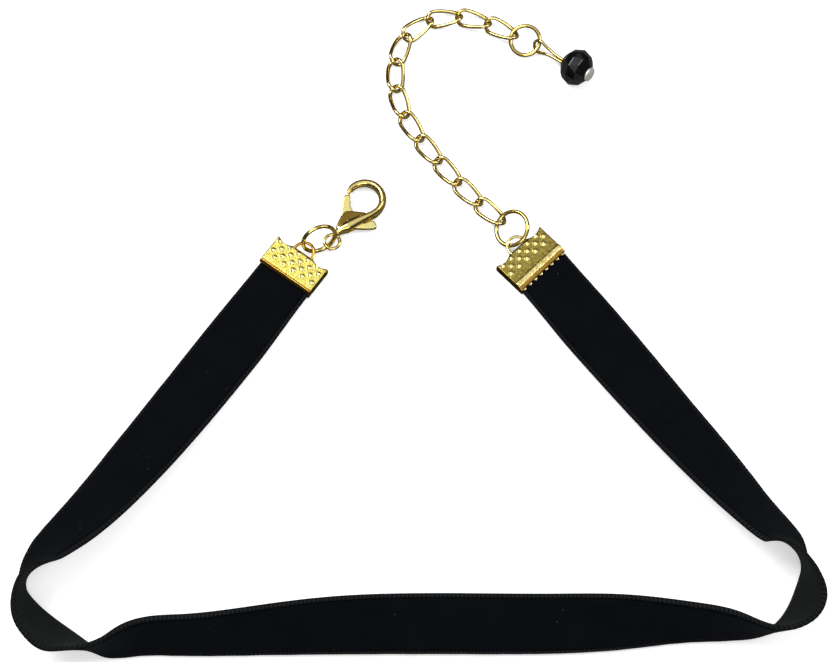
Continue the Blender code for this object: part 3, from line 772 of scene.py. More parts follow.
class Finishes:
    """Every material of the choker."""

    def __init__(self) -> None:
        """Builds them from the shared effects."""
        effects = Effects()

        def metal(
            name: str, colour: Colour, shade: Colour, roughness: float, **more: float
        ) -> bpy.types.Material:
            """A plated finish from the shared effects."""
            return PlatedMetal(name, colour, shade, roughness, **more).build(effects)

        gold = (0.96, 0.80, 0.33)
        deep = (0.78, 0.58, 0.16)
        self.gold = metal("gold_wire", gold, deep, 0.12, relief=0.03)
        self.gold_cast = metal("gold_cast", gold, deep, 0.11, grain=0.7, relief=0.04)
        # Painted shade: the jump rings get a darker copy of the wire's gold plating.
        self.gold_ring_painted_shade = metal("gold_ring_painted_shade", (0.84, 0.67, 0.22), (0.58, 0.42, 0.09), 0.13, relief=0.03)
        # Painted shade: a dark brown copy of the cast gold for the cheeks' flats and the rivet.
        shaded = ((0.27, 0.17, 0.035), (0.18, 0.10, 0.015))
        self.gold_painted_shade = metal("gold_cast_painted_shade", *shaded, 0.18, grain=0.7, relief=0.05)
        lever = ((0.88, 0.80, 0.34), (0.74, 0.62, 0.20))
        self.gold_lever = metal("gold_lever_pale", *lever, 0.20, grain=0.7, relief=0.05)
        # Lit and shaded copies of one plating: the left crimp's sheet has painted light, the right crimp's
        # painted shade.
        bright = ((0.82, 0.70, 0.19), (0.44, 0.37, 0.06))
        olive = ((0.46, 0.36, 0.09), (0.19, 0.14, 0.022))
        self.sheets = {
            Side.LEFT: metal("gold_sheet_painted_light", *bright, 0.23, grain=3.0, relief=0.35),
            Side.RIGHT: metal("gold_sheet_painted_shade", *olive, 0.21, grain=3.0, relief=0.35),
        }
        # Painted highlight: the middle of each raised dot gets a near-white gold.
        self.dots = metal("gold_dot_painted_highlight", (1.0, 0.93, 0.52), (0.97, 0.88, 0.42), 0.30, relief=0.03)
        # Painted shade: dark brown on the lip's part nearest the velvet at a toothed mouth.
        self.mouth_shade = metal("gold_mouth_painted_shade", (0.50, 0.30, 0.06), (0.30, 0.16, 0.025), 0.22, grain=1.3)
        # Lit and shaded copies of one plating for the lips, loops and teeth: the left's amber is painted
        # shade, the right's pale gold a painted highlight.
        amber = ((0.80, 0.52, 0.11), (0.58, 0.32, 0.05))
        pale = ((0.99, 0.90, 0.46), (0.52, 0.38, 0.08))
        self.lips = {
            Side.LEFT: metal("gold_lip_painted_shade", *amber, 0.17, grain=0.8),
            Side.RIGHT: metal("gold_lip_painted_highlight", *pale, 0.20, grain=2.6, relief=0.5),
        }
        self.silver = metal("silver_pin_head", (1.0, 1.0, 0.97), (0.96, 0.95, 0.90), 0.62)
        self.pile = VelvetPile().build(effects)
        back = ((0.0095, 0.0120, 0.0125), (0.0034, 0.0044, 0.0048))
        self.back = WovenCloth("woven_back", *back, 0.32, 14.0, 0.6, 0.04).build(effects)
        threads = ((0.0075, 0.0085, 0.0090), (0.0020, 0.0025, 0.0030))
        self.selvage = WovenCloth("selvage_threads", *threads, 0.62, 12.0, 0.5, 0.02).build(effects)
        self.glass = BlackGlass().build(effects)
        self.floor = PaleFloor().build()


# Layout of the choker, as in the part's source


# The ribbon's lower edge: share of the half span across, share of the depth along, lean in degrees.
RIBBON_TABLE = (
    (-0.413, 1.003, 90),
    (-0.587, 0.775, 88),
    (-0.712, 0.610, 80),
    (-0.808, 0.484, 70),
    (-0.910, 0.356, 56),
    (-0.974, 0.276, 45),
    (-0.999, 0.219, 35),
    (-1.000, 0.171, 16),
    (-0.970, 0.130, -16),
    (-0.917, 0.087, -34),
    (-0.846, 0.038, -30),
    (-0.785, 0.000, -3),
    (-0.700, -0.001, 15),
    (-0.583, -0.001, 21),
    (-0.425, -0.001, 29),
    (-0.183, 0.000, 45),
    (0.083, 0.000, 50),
    (0.333, 0.001, 48),
    (0.517, 0.012, 40),
    (0.697, 0.033, 19),
    (0.817, 0.040, 5),
    (0.903, 0.066, -18),
    (0.944, 0.116, -27),
    (0.969, 0.168, -15),
    (0.988, 0.222, 14),
    (0.984, 0.279, 35),
    (0.937, 0.346, 46),
    (0.833, 0.483, 61),
    (0.730, 0.613, 70),
    (0.600, 0.778, 80),
    (0.399, 1.024, 90),
)
# The chain's route in millimetres from the middle of its jump ring.
CHAIN_ROUTE = (
    (-5.5, 4.9),
    (-12.2, 12.5),
    (-17.5, 20.8),
    (-18.5, 28.4),
    (-15.6, 35.0),
    (-11.3, 37.0),
    (-6.6, 36.9),
    (2.3, 32.8),
)
# The clasp's spine: up, aside and width as shares of its length, height as a share of its height.
SPINE_TABLE = (
    (0.075, -0.005, 0.055, 0.40),
    (0.160, -0.012, 0.085, 0.72),
    (0.270, -0.072, 0.155, 1.00),
    (0.400, -0.155, 0.150, 1.00),
    (0.530, -0.250, 0.115, 1.00),
    (0.640, -0.312, 0.100, 0.96),
)
# Outlines seen from above: up and aside as shares of the clasp's length.
CHEEK_TABLE = (
    (0.150, 0.040),
    (0.290, 0.062),
    (0.425, 0.058),
    (0.470, 0.020),
    (0.575, -0.230),
    (0.520, -0.290),
    (0.380, -0.200),
    (0.200, -0.070),
)
SLOT_TABLE = (
    (0.235, 0.200),
    (0.800, 0.200),
    (0.620, -0.100),
    (0.540, -0.520),
    (0.235, -0.520),
)
TAB_TABLE = (
    (0.440, -0.170),
    (0.405, -0.250),
    (0.515, -0.335),
    (0.495, -0.400),
    (0.434, -0.430),
    (0.340, -0.265),
    (0.270, -0.100),
)


@dataclass(frozen=True)
class CrimpSizes:
    """Sizes of one crimp: its length, its lip and its turn from the ribbon's heading."""

    side: Side
    length: float
    lip: float
    turn: float
    toothed: bool


class Layout:
    """Sizes that more than one piece is placed by, and the places that follow from them."""

    SHIFT = np.array([-0.3851167858, -52.5580272079, 0.0])
    CRIMP_WIDTH = 9.6
    CRIMP_SHEET = 0.35
    CRIMP_FOLD = 0.7
    CRIMP_LOOP_REACH = 2.0
    CRIMP_LOOP_BAR = 0.5
    RIBBON_WIDTH = 10.0
    RIBBON_THICKNESS = 1.0
    CRIMPS = {
        Side.LEFT: CrimpSizes(Side.LEFT, 5.2, 0.7, 0.0, False),
        Side.RIGHT: CrimpSizes(Side.RIGHT, 5.7, 1.7, 6.0, True),
    }

    @classmethod
    def end_width(cls) -> float:
        """The ribbon's width where a crimp holds it."""
        return cls.CRIMP_WIDTH - 2 * CLEARANCE

    @classmethod
    def crimp_height(cls) -> float:
        """Height of a closed crimp."""
        return cls.RIBBON_THICKNESS + 2 * CLEARANCE + 2 * cls.CRIMP_SHEET

    @classmethod
    def loop_level(cls) -> float:
        """Height of the middle of a crimp's loop."""
        return cls.crimp_height() - 0.65 * cls.CRIMP_SHEET

    @classmethod
    def grip(cls, side: Side) -> float:
        """How far the ribbon reaches into a crimp.

        Args:
            side: which end of the ribbon.

        Returns:
            The reach in millimetres.
        """
        crimp = cls.CRIMPS[side]
        corner = cls.end_width() / 2 * math.sin(math.radians(abs(crimp.turn)))
        return crimp.length - cls.CRIMP_FOLD - CLEARANCE - corner


@dataclass
class Ribbon:
    """The velvet ribbon: pile on its face, a corded selvage along both edges, a woven back."""

    half_span: float = 60.0
    depth: float = 63.0
    ease_length: float = 14.0
    coarse_stations: int = 120
    stations_per_gap: int = 11
    selvage: float = 0.62
    groove_depth: float = 0.20
    cord_rise: float = 0.16
    tick_pitch: float = 0.62
    tick_height: float = 0.03
    tick_slant: float = 0.8
    pile_wave: float = 0.035
    wave_count: int = 9
    wave_pitch: tuple[float, float] = (3, 16)
    seed: int = 7
    middle: Points = field(init=False)
    tangent: Points = field(init=False)

    def __post_init__(self) -> None:
        """Works out the ribbon's line, its direction across and its upward side."""
        table = np.array(RIBBON_TABLE) * (self.half_span, self.depth, 1.0)
        knots = chord_lengths(table[:, :2])
        open_part = np.linspace(0, knots[-1], self.coarse_stations)
        held = (-Layout.grip(Side.LEFT), knots[-1] + Layout.grip(Side.RIGHT))
        coarse = np.concatenate([held[:1], open_part, held[1:]])
        count = (len(coarse) - 1) * self.stations_per_gap + 1
        self.places = np.interp(np.arange(count) / self.stations_per_gap, np.arange(len(coarse)), coarse)
        rows = natural_spline(knots, table, self.places)
        foot = rows[:, :2]
        self.tangent = unit(np.gradient(foot, self.places, axis=0))
        inward = np.stack([-self.tangent[:, 1], self.tangent[:, 0]], axis=1)
        lean = np.radians(np.minimum(rows[:, 2], 90))
        self.across = np.column_stack([inward * np.sin(lean)[:, None], np.cos(lean)])
        self.face = np.column_stack([-inward * np.cos(lean)[:, None], np.sin(lean)])
        from_end = np.minimum(self.places, knots[-1] - self.places)
        ease = smooth_step(1 - from_end / self.ease_length)
        self.width = Layout.RIBBON_WIDTH + (Layout.end_width() - Layout.RIBBON_WIDTH) * ease
        lift = (Layout.CRIMP_SHEET + CLEARANCE) * ease
        height = Layout.RIBBON_THICKNESS / 2 * np.abs(self.face[:, 2]) + lift
        low_edge = np.column_stack([foot, height])
        low_edge += self.across * ((Layout.RIBBON_WIDTH - self.width) / 2)[:, None]
        self.middle = low_edge + self.across * self.width[:, None] / 2

    def mouth(self, side: Side) -> tuple[Points, Points]:
        """Where a crimp starts.

        Args:
            side: which end.

        Returns:
            The middle of the ribbon there, and its heading into the crimp.
        """
        i = -1 - self.stations_per_gap if side is Side.RIGHT else self.stations_per_gap
        return self.middle[i][:2], self.tangent[i] if side is Side.RIGHT else -self.tangent[i]

    def profile(self) -> tuple[Points, list[int]]:
        """The ribbon's section as shares.

        Returns:
            Rows of place across from the edge, side, and height over the middle; and the finish after each.
        """
        half = Layout.RIBBON_THICKNESS / 2
        cord_top = half - self.groove_depth + self.cord_rise
        # Inset from the ribbon's edge, and height over its middle.
        edge = (
            (0.00, -0.22),
            (0.04, -0.02),
            (0.13, cord_top - 0.10),
            (0.26, cord_top),
            (0.42, cord_top - 0.04),
            (self.selvage - 0.06, half - self.groove_depth - 0.12),
            (self.selvage + 0.06, half - self.groove_depth - 0.06),
            (self.selvage + 0.14, half - 0.13),
            (self.selvage + 0.30, half - 0.05),
            (self.selvage + 0.60, half - 0.012),
        )
        rows: list[tuple[float, float, float]] = []
        finishes: list[int] = []
        for inset, height in edge:
            rows.append((inset, 1.0, height))
            finishes.append(Cloth.SELVAGE if inset < self.selvage - 0.1 else Cloth.PILE)
        for share in np.linspace(0.66, -0.66, 13):
            rows.append((-1.0, share, half))
            finishes.append(Cloth.PILE)
        for inset, height in reversed(edge):
            rows.append((inset, -1.0, height))
            finishes.append(Cloth.PILE if inset > self.selvage - 0.02 else Cloth.SELVAGE)
        rows.append((0.06, -1.0, -half + 0.12))
        rows.append((0.26, -1.0, -half))
        finishes += [Cloth.SELVAGE, Cloth.BACK]
        for share in np.linspace(-0.7, 0.7, 9):
            rows.append((-1.0, share, -half))
            finishes.append(Cloth.BACK)
        rows.append((0.26, 1.0, -half))
        rows.append((0.06, 1.0, -half + 0.12))
        finishes += [Cloth.SELVAGE, Cloth.SELVAGE]
        return np.array(rows), finishes

    def build(self, finishes: Finishes) -> bpy.types.Object:
        """Args:
            finishes: the choker's materials.

        Returns:
            The ribbon.
        """
        rows, kinds = self.profile()
        half = self.width[:, None] / 2
        shares = np.where(rows[:, 0] < 0, rows[:, 1], 0.0)
        aside = np.where(rows[:, 0] < 0, shares * half, rows[:, 1] * (half - rows[:, 0]))
        height = np.repeat(rows[None, :, 2], len(self.places), axis=0)
        tick = np.abs(np.sin(math.pi * self.places[:, None] / self.tick_pitch + rows[:, 1] * self.tick_slant))
        corded = (rows[:, 0] >= 0) & (rows[:, 0] < self.selvage - 0.1) & (rows[:, 2] > -0.3)
        height = height - np.where(corded, self.tick_height * (1 - tick**1.5), 0.0)
        rim = (rows[:, 0] >= 0) & (rows[:, 0] < 0.1)
        aside = aside - np.where(rim, rows[:, 1] * 0.5 * self.tick_height * (1 - tick), 0.0)
        height = height + np.where((rows[:, 2] > 0.3), self.unevenness(aside), 0.0)
        points = self.middle[:, None] + aside[..., None] * self.across[:, None]
        points = points + height[..., None] * self.face[:, None]
        along = np.repeat(chord_lengths(self.middle)[:, None], len(rows), axis=1)
        marks = np.stack([along / UV_UNIT, aside / UV_UNIT + 0.5], axis=-1)
        sketch = Sketch()
        sketch.grid(points, kinds, caps=True, marks=marks)
        ribbon = sketch.piece(
            "velvet_ribbon", [finishes.pile, finishes.back, finishes.selvage], "velvet", ["ribbon"], sharp=60
        )
        return ribbon

    def unevenness(self, aside: Points) -> Points:
        """Slow waves in the pile's height.

        Args:
            aside: place across the ribbon of each point.

        Returns:
            Height to add at each point, never above the ribbon's own.
        """
        dice = np.random.default_rng(self.seed)
        total = np.zeros_like(aside)
        for _ in range(self.wave_count):
            pitch = dice.uniform(*self.wave_pitch)
            slant, start = dice.uniform(-1.6, 1.6), dice.uniform(0, 2 * math.pi)
            total += np.sin(2 * math.pi * (self.places[:, None] + slant * aside) / pitch + start)
        return -self.pile_wave * (1 + total / 5).clip(0, 2)


@dataclass
class Crimp:
    """A folded crimp with raised dots, a rounded lip and a loop."""

    sizes: CrimpSizes
    frame: Frame
    pitch: float = 0.075
    hollow: float = 0.45
    lip_rise: float = 0.25
    dot_radius: float = 0.43
    dot_rise: float = 0.24
    dot_step: float = 0.9
    dot_softness: float = 1.2
    # The middle of each dot, to this share of its radius, gets a painted highlight.
    dot_highlight_share: float = 0.75
    # The lip's part nearest a toothed mouth, past this share of it, gets painted shade.
    mouth_shade_share: float = 0.62
    low_round: float = 0.35
    top_round: float = 0.4
    edge_drop: float = 0.10
    edge_reach: float = 0.16
    loop_half_width: float = 1.85
    tooth_count: int = 8
    tooth_reach: float = 0.25
    tooth_half_width: float = 0.34
    tooth_half_height: float = 0.04
    tooth_level: float = 0.06

    @classmethod
    def at(cls, side: Side, ribbon: Ribbon) -> "Crimp":
        """The crimp on one end of the ribbon.

        Args:
            side: which end.
            ribbon: the ribbon that it grips.

        Returns:
            The crimp, placed and turned.
        """
        sizes = Layout.CRIMPS[side]
        mouth, heading = ribbon.mouth(side)
        outward = level(math.degrees(math.atan2(heading[1], heading[0])) + sizes.turn)
        origin = np.array([*mouth, 0.0]) + sizes.length * outward
        return cls(sizes, Frame(origin, turn_frame(outward)))

    def dots(self) -> Points:
        """The middle of each dot on the crimp's top.

        Returns:
            Places x and y in the crimp's frame.
        """
        room = self.sizes.length - self.sizes.lip
        rows = int((room - self.dot_step / 2) / self.dot_step)
        columns = round((Layout.CRIMP_WIDTH - self.dot_step) / (2 * self.dot_step))
        places = []
        for row in range(rows):
            stagger = 0.5 * self.dot_step * (-1) ** row
            for column in range(columns):
                aside = (column - (columns - 1) / 2) * 2 * self.dot_step + stagger
                places.append((-self.dot_step * (row + 0.75), aside))
        return np.array(places)

    def from_dot(self, x: Points, y: Points) -> Points:
        """Distance of each place from the nearest dot's middle."""
        return np.hypot(x[..., None] - self.dots()[:, 0], y[..., None] - self.dots()[:, 1]).min(axis=-1)

    def top_height(self, x: Points, y: Points) -> Points:
        """Height of the top over the crimp, with its lip and dots.

        Args:
            x: place from the ring side, below 0 towards the ribbon.
            y: place across.

        Returns:
            The height at each point.
        """
        top = Layout.crimp_height()
        sheet = Layout.CRIMP_SHEET
        lip = self.sizes.lip
        knots = np.array([0.0, 0.1, 0.45, 0.65, 0.85, 1.0, 1.15]) * lip
        crest = self.lip_rise
        rises = [-0.6 * sheet, -0.3 * sheet, 0.7 * crest, crest, 0.75 * crest, -0.06, 0.0]
        from_mouth = x + self.sizes.length
        height = top + np.interp(from_mouth, knots, rises)
        within = np.clip(self.from_dot(x, y) / self.dot_radius, 0, 1)
        height += self.dot_rise * np.cos(math.pi / 2 * within) ** self.dot_softness
        from_side = Layout.CRIMP_WIDTH / 2 - np.abs(y)
        return height - self.edge_drop * (1 - np.clip(from_side / self.edge_reach, 0, 1)) ** 2

    def fold_inset(self, y: Points) -> Points:
        """How far the hollows beside the loop cut into the ring side.

        Args:
            y: place across.

        Returns:
            The inset at each place.
        """
        near = self.loop_half_width + 0.1
        far = Layout.CRIMP_WIDTH / 2 - 0.15
        return self.hollow * np.sin(math.pi * np.clip((np.abs(y) - near) / (far - near), 0, 1))

    def outline(self) -> Points:
        """The folded sheet from the side.

        Returns:
            Rows of x, z and 1 where the height is the dotted top's, otherwise 0.
        """
        top, sheet, fold = Layout.crimp_height(), Layout.CRIMP_SHEET, Layout.CRIMP_FOLD
        mouth = -self.sizes.length
        rows = [(x, 0.0, 0) for x in np.linspace(mouth + 0.05, -self.low_round, 14)]
        for radius, middle, turns in (
            (self.low_round, self.low_round, np.linspace(-90, 0, 6)[1:]),
            (self.top_round, top - self.top_round, np.linspace(0, 90, 8)[:-1]),
        ):
            for angle in np.radians(turns):
                rows.append((-radius + radius * math.cos(angle), middle + radius * math.sin(angle), 0))
        count = round((self.sizes.length - self.top_round) / self.pitch)
        rows += [(x, top, 1) for x in np.linspace(-self.top_round, mouth + 0.04, count)]
        rows += [(mouth, top - 0.7 * sheet, 0), (mouth, top - 0.9 * sheet, 0), (mouth + 0.06, top - sheet, 0)]
        rows += [(x, top - sheet, 0) for x in np.linspace(mouth + 0.5, -fold, 5)]
        rows += [(x, sheet, 0) for x in np.linspace(-fold, mouth + 0.5, 5)]
        rows += [(mouth + 0.06, sheet, 0), (mouth, 0.85 * sheet, 0), (mouth, 0.15 * sheet, 0)]
        return np.array(rows)

    def shell(self, sketch: Sketch) -> None:
        """Draws the folded sheet, with finishes of their own for the lip, a painted highlight on the dots and
        painted shade at a toothed mouth.

        Args:
            sketch: the sketch to draw in.
        """
        rows = self.outline()
        half = Layout.CRIMP_WIDTH / 2
        columns = np.linspace(-half, half, round(Layout.CRIMP_WIDTH / self.pitch) + 1)
        x = np.repeat(rows[None, :, 0], len(columns), axis=0)
        y = np.repeat(columns[:, None], len(rows), axis=1)
        fold = Layout.CRIMP_FOLD
        x = x - self.fold_inset(y) * np.clip((x + fold) / fold, 0, 1)
        z = np.where(rows[:, 2] > 0, self.top_height(x, y), rows[:, 1])
        points = self.frame.out(np.stack([x, y, z], axis=-1))
        marks = np.stack([x, y], axis=-1) / UV_UNIT
        lip_end = self.sizes.lip - self.sizes.length
        over = rows[:, 2] > 0
        kinds = np.where(over & (rows[:, 0] < lip_end), Plate.LIP, Plate.SHEET)
        kinds = kinds * np.ones((len(columns), 1), int)
        # Painted shade on the part of the lip nearest the mouth.
        if self.sizes.toothed:
            mouth_shade_end = lip_end - self.mouth_shade_share * self.sizes.lip
            kinds = np.where(over & (rows[:, 0] < mouth_shade_end), Plate.BROWN, kinds)
        # Painted highlight on the middle of each dot.
        on_dot_highlight = self.from_dot(x, y) < self.dot_highlight_share * self.dot_radius
        kinds = np.where(over & on_dot_highlight, Plate.DOT, kinds)
        sketch.grid(points, kinds, caps=True, marks=marks)

    def loop(self, sketch: Sketch) -> None:
        """Draws the half-round loop on the ring side.

        Args:
            sketch: the sketch to draw in.
        """
        bar, rise = Layout.CRIMP_LOOP_BAR / 2, Layout.CRIMP_SHEET / 2
        reach, half = Layout.CRIMP_LOOP_REACH - bar, self.loop_half_width - bar
        turns = np.radians(np.linspace(-88, 88, 37))
        line = np.column_stack([reach * np.cos(turns), half * np.sin(turns)])
        line = np.vstack([[-0.55, -half], line, [-0.55, half]])
        heading = unit(np.gradient(line, axis=0))
        across = np.column_stack([heading[:, 1], -heading[:, 0]])
        around = full_turn(14)
        wide = bar * np.sign(np.cos(around)) * np.abs(np.cos(around)) ** 0.7
        high = rise * np.sign(np.sin(around)) * np.abs(np.sin(around)) ** 0.7
        flat = line[:, None] + wide[None, :, None] * across[:, None]
        height = np.broadcast_to(Layout.loop_level() + high, flat.shape[:2])
        rows = self.frame.out(np.concatenate([flat, height[..., None]], axis=-1))
        sketch.grid(rows, Plate.LIP, caps=True)

    def teeth(self, sketch: Sketch) -> None:
        """Draws the small teeth that hold the velvet down.

        Args:
            sketch: the sketch to draw in.
        """
        low = Layout.crimp_height() - Layout.CRIMP_SHEET
        step = Layout.CRIMP_WIDTH / self.tooth_count
        turns = full_turn(10)
        for number in range(self.tooth_count):
            y = (number - (self.tooth_count - 1) / 2) * step
            rows = []
            for share, size in ((-0.2, 1.0), (0.3, 0.9), (0.7, 0.6), (1.0, 0.2)):
                x = -self.sizes.length - self.tooth_reach * share
                wide = self.tooth_half_width * size * np.cos(turns)
                high = self.tooth_half_height * size * np.sin(turns)
                places = (np.full_like(turns, x), y + wide, low + self.tooth_level + high)
                rows.append(np.column_stack(places))
            sketch.grid(self.frame.out(np.array(rows)), Plate.LIP, caps=True)

    def build(self, finishes: Finishes) -> bpy.types.Object:
        """Builds the crimp.

        Args:
            finishes: the choker's materials.

        Returns:
            The crimp.
        """
        sketch = Sketch()
        self.shell(sketch)
        self.loop(sketch)
        if self.sizes.toothed:
            self.teeth(sketch)
        side = self.sizes.side
        # This side's sheet and lip are copies with painted light or shade; the dots have a painted highlight,
        # a toothed mouth painted shade.
        golds = [finishes.sheets[side], finishes.lips[side], finishes.dots, finishes.mouth_shade]
        return sketch.piece(f"folded_crimp_{side.value}", golds, "gold", [f"crimp_{side.value}"])


@dataclass
class JumpRing:
    """A jump ring: its middle, the level line across it, its tilt and its cut."""

    place: Points
    bearing: float
    tilt: float
    diameter: float
    cut: float
    wire: float = 0.65
    slack: float = 0.3
    gap: float = 0.05

    def __post_init__(self) -> None:
        """Works out the ring's radius and its axes."""
        self.radius = (self.diameter - self.wire) / 2
        self.lean = math.radians(self.tilt)
        self.level = level(self.bearing)
        self.rise = level(self.bearing + 90)
        height = self.wire / 2 + self.radius * math.sin(self.lean)
        self.middle = np.array([self.place[0], self.place[1], height])

    def offset(self, height: float, side: int) -> Points:
        """From the middle to the wire at a height on the lower half.

        Args:
            height: height over the floor.
            side: -1 or 1, the end of the level line.

        Returns:
            The step from the ring's middle.
        """
        drop = (height - self.middle[2]) / math.sin(self.lean)
        reach = math.sqrt(self.radius**2 - drop**2)
        return side * reach * self.level + drop * math.cos(self.lean) * self.rise

    def toward(self, bearing: float, reach: float) -> Points:
        """A point of the ring's plane.

        Args:
            bearing: its bearing from the middle, in radians.
            reach: its distance from the middle.

        Returns:
            The point.
        """
        heading = np.array([math.cos(bearing), math.sin(bearing), 0.0])
        steep = self.rise + math.tan(self.lean) * UP
        line = heading @ self.level * self.level + heading @ self.rise * steep
        return self.middle + unit(line) * reach

    def build(self, name: str, stands_for: str, finishes: Finishes) -> bpy.types.Object:
        """Builds the ring, with the cut that it was opened at.

        Args:
            name: the piece's name.
            stands_for: the solid that it takes the place of.
            finishes: the choker's materials.

        Returns:
            The ring.
        """
        steep = math.cos(self.lean) * self.rise + math.sin(self.lean) * UP
        half_gap = self.gap / 2 / self.radius
        start = math.radians(self.cut)
        turns = np.linspace(start + half_gap, start + 2 * math.pi - half_gap, 73)
        spokes = np.cos(turns)[:, None] * self.level + np.sin(turns)[:, None] * steep
        sketch = Sketch()
        Wire(self.middle + self.radius * spokes, spokes, self.wire, closed=False, sides=18).draw(sketch)
        # The ring takes the darker copy of the gold, with painted shade.
        return sketch.piece(name, [finishes.gold_ring_painted_shade], "gold", [stands_for])


@dataclass
class ExtensionChain:
    """Twisted curb links from the jump ring to the drop."""

    ring: JumpRing
    count: int = 12
    length: float = 6.15
    width: float = 3.1
    wire: float = 0.6
    twist: float = -45.0
    slack: float = 0.16

    def oval(self) -> tuple[float, float, float]:
        """Half the length of a link's middle line, the radius of its ends, and half its straight side."""
        half, end_radius = (self.length - self.wire) / 2, (self.width - self.wire) / 2
        return half, end_radius, half - end_radius

    def link_line(self, steps: int = 15) -> Points:
        """Middle line of one link: an oval with straight sides, twisted along its length.

        Args:
            steps: points of each round end.

        Returns:
            The line's points in the link's own frame.
        """
        half, end_radius, straight = self.oval()
        flat: list[tuple[float, float]] = []
        for centre, start in ((straight, -90), (-straight, 90)):
            for turn in np.radians(np.linspace(start, start + 180, steps)):
                flat.append((centre + end_radius * math.cos(turn), end_radius * math.sin(turn)))
            side = end_radius if centre > 0 else -end_radius
            along = np.sign(centre) * straight * np.array([0.66, 0.33, 0.0, -0.33, -0.66])
            flat += [(x, side) for x in along]
        oval = np.array(flat)
        turns = np.radians(self.twist) * oval[:, 0] / half
        return np.column_stack([oval[:, 0], oval[:, 1] * np.cos(turns), oval[:, 1] * np.sin(turns)])

    def lie_height(self) -> float:
        """How high a link's middle is when it lies on the floor, as the source's link has it.

        Returns:
            The height in millimetres.
        """
        half, end_radius, straight = self.oval()
        turns = np.radians(np.linspace(-90, 90, 7))
        x, y = straight + end_radius * np.cos(turns), end_radius * np.sin(turns)
        lowest = (y * np.sin(np.radians(self.twist) * x / half)).min()
        return self.wire / 2 - float(lowest)

    def contacts(self) -> Points:
        """Where the links meet, from the jump ring outwards.

        Returns:
            The contact points, one more than links.
        """
        route = np.array(CHAIN_ROUTE, float) + self.ring.middle[:2]
        toward = math.atan2(*(route[0] - self.ring.middle[:2])[::-1])
        first = self.ring.toward(toward, self.ring.radius - (self.ring.wire + self.ring.slack) / 2)[:2]
        route = np.vstack([first, route])
        knots = chord_lengths(route)
        line = natural_spline(knots, route, np.linspace(0, knots[-1] * 1.2, 1500))
        step = self.length - 2 * self.wire - self.slack
        found = [line[0]]
        for point in line:
            if np.linalg.norm(point - found[-1]) >= step and len(found) <= self.count:
                found.append(point)
        return np.array(found)

    def build(self, finishes: Finishes) -> tuple[Points, Points]:
        """Builds the links.

        Args:
            finishes: the choker's materials.

        Returns:
            The free contact point and the last link's heading.
        """
        line = self.link_line()
        contacts = self.contacts()
        runs = np.diff(contacts, axis=0)
        for number, (contact, run) in enumerate(zip(contacts, runs), start=1):
            origin = np.array([*(contact + run / 2), self.lie_height()])
            frame = Frame(origin, turn_frame(np.array([*run, 0.0])))
            sketch = Sketch()
            Wire(frame.out(line), frame.out(line) - origin, self.wire, sides=16).draw(sketch)
            sketch.piece(f"curb_link_{number:02d}", [finishes.gold], "gold", [f"chain_link_{number:02d}"])
        return contacts[-1], unit(runs[-1])


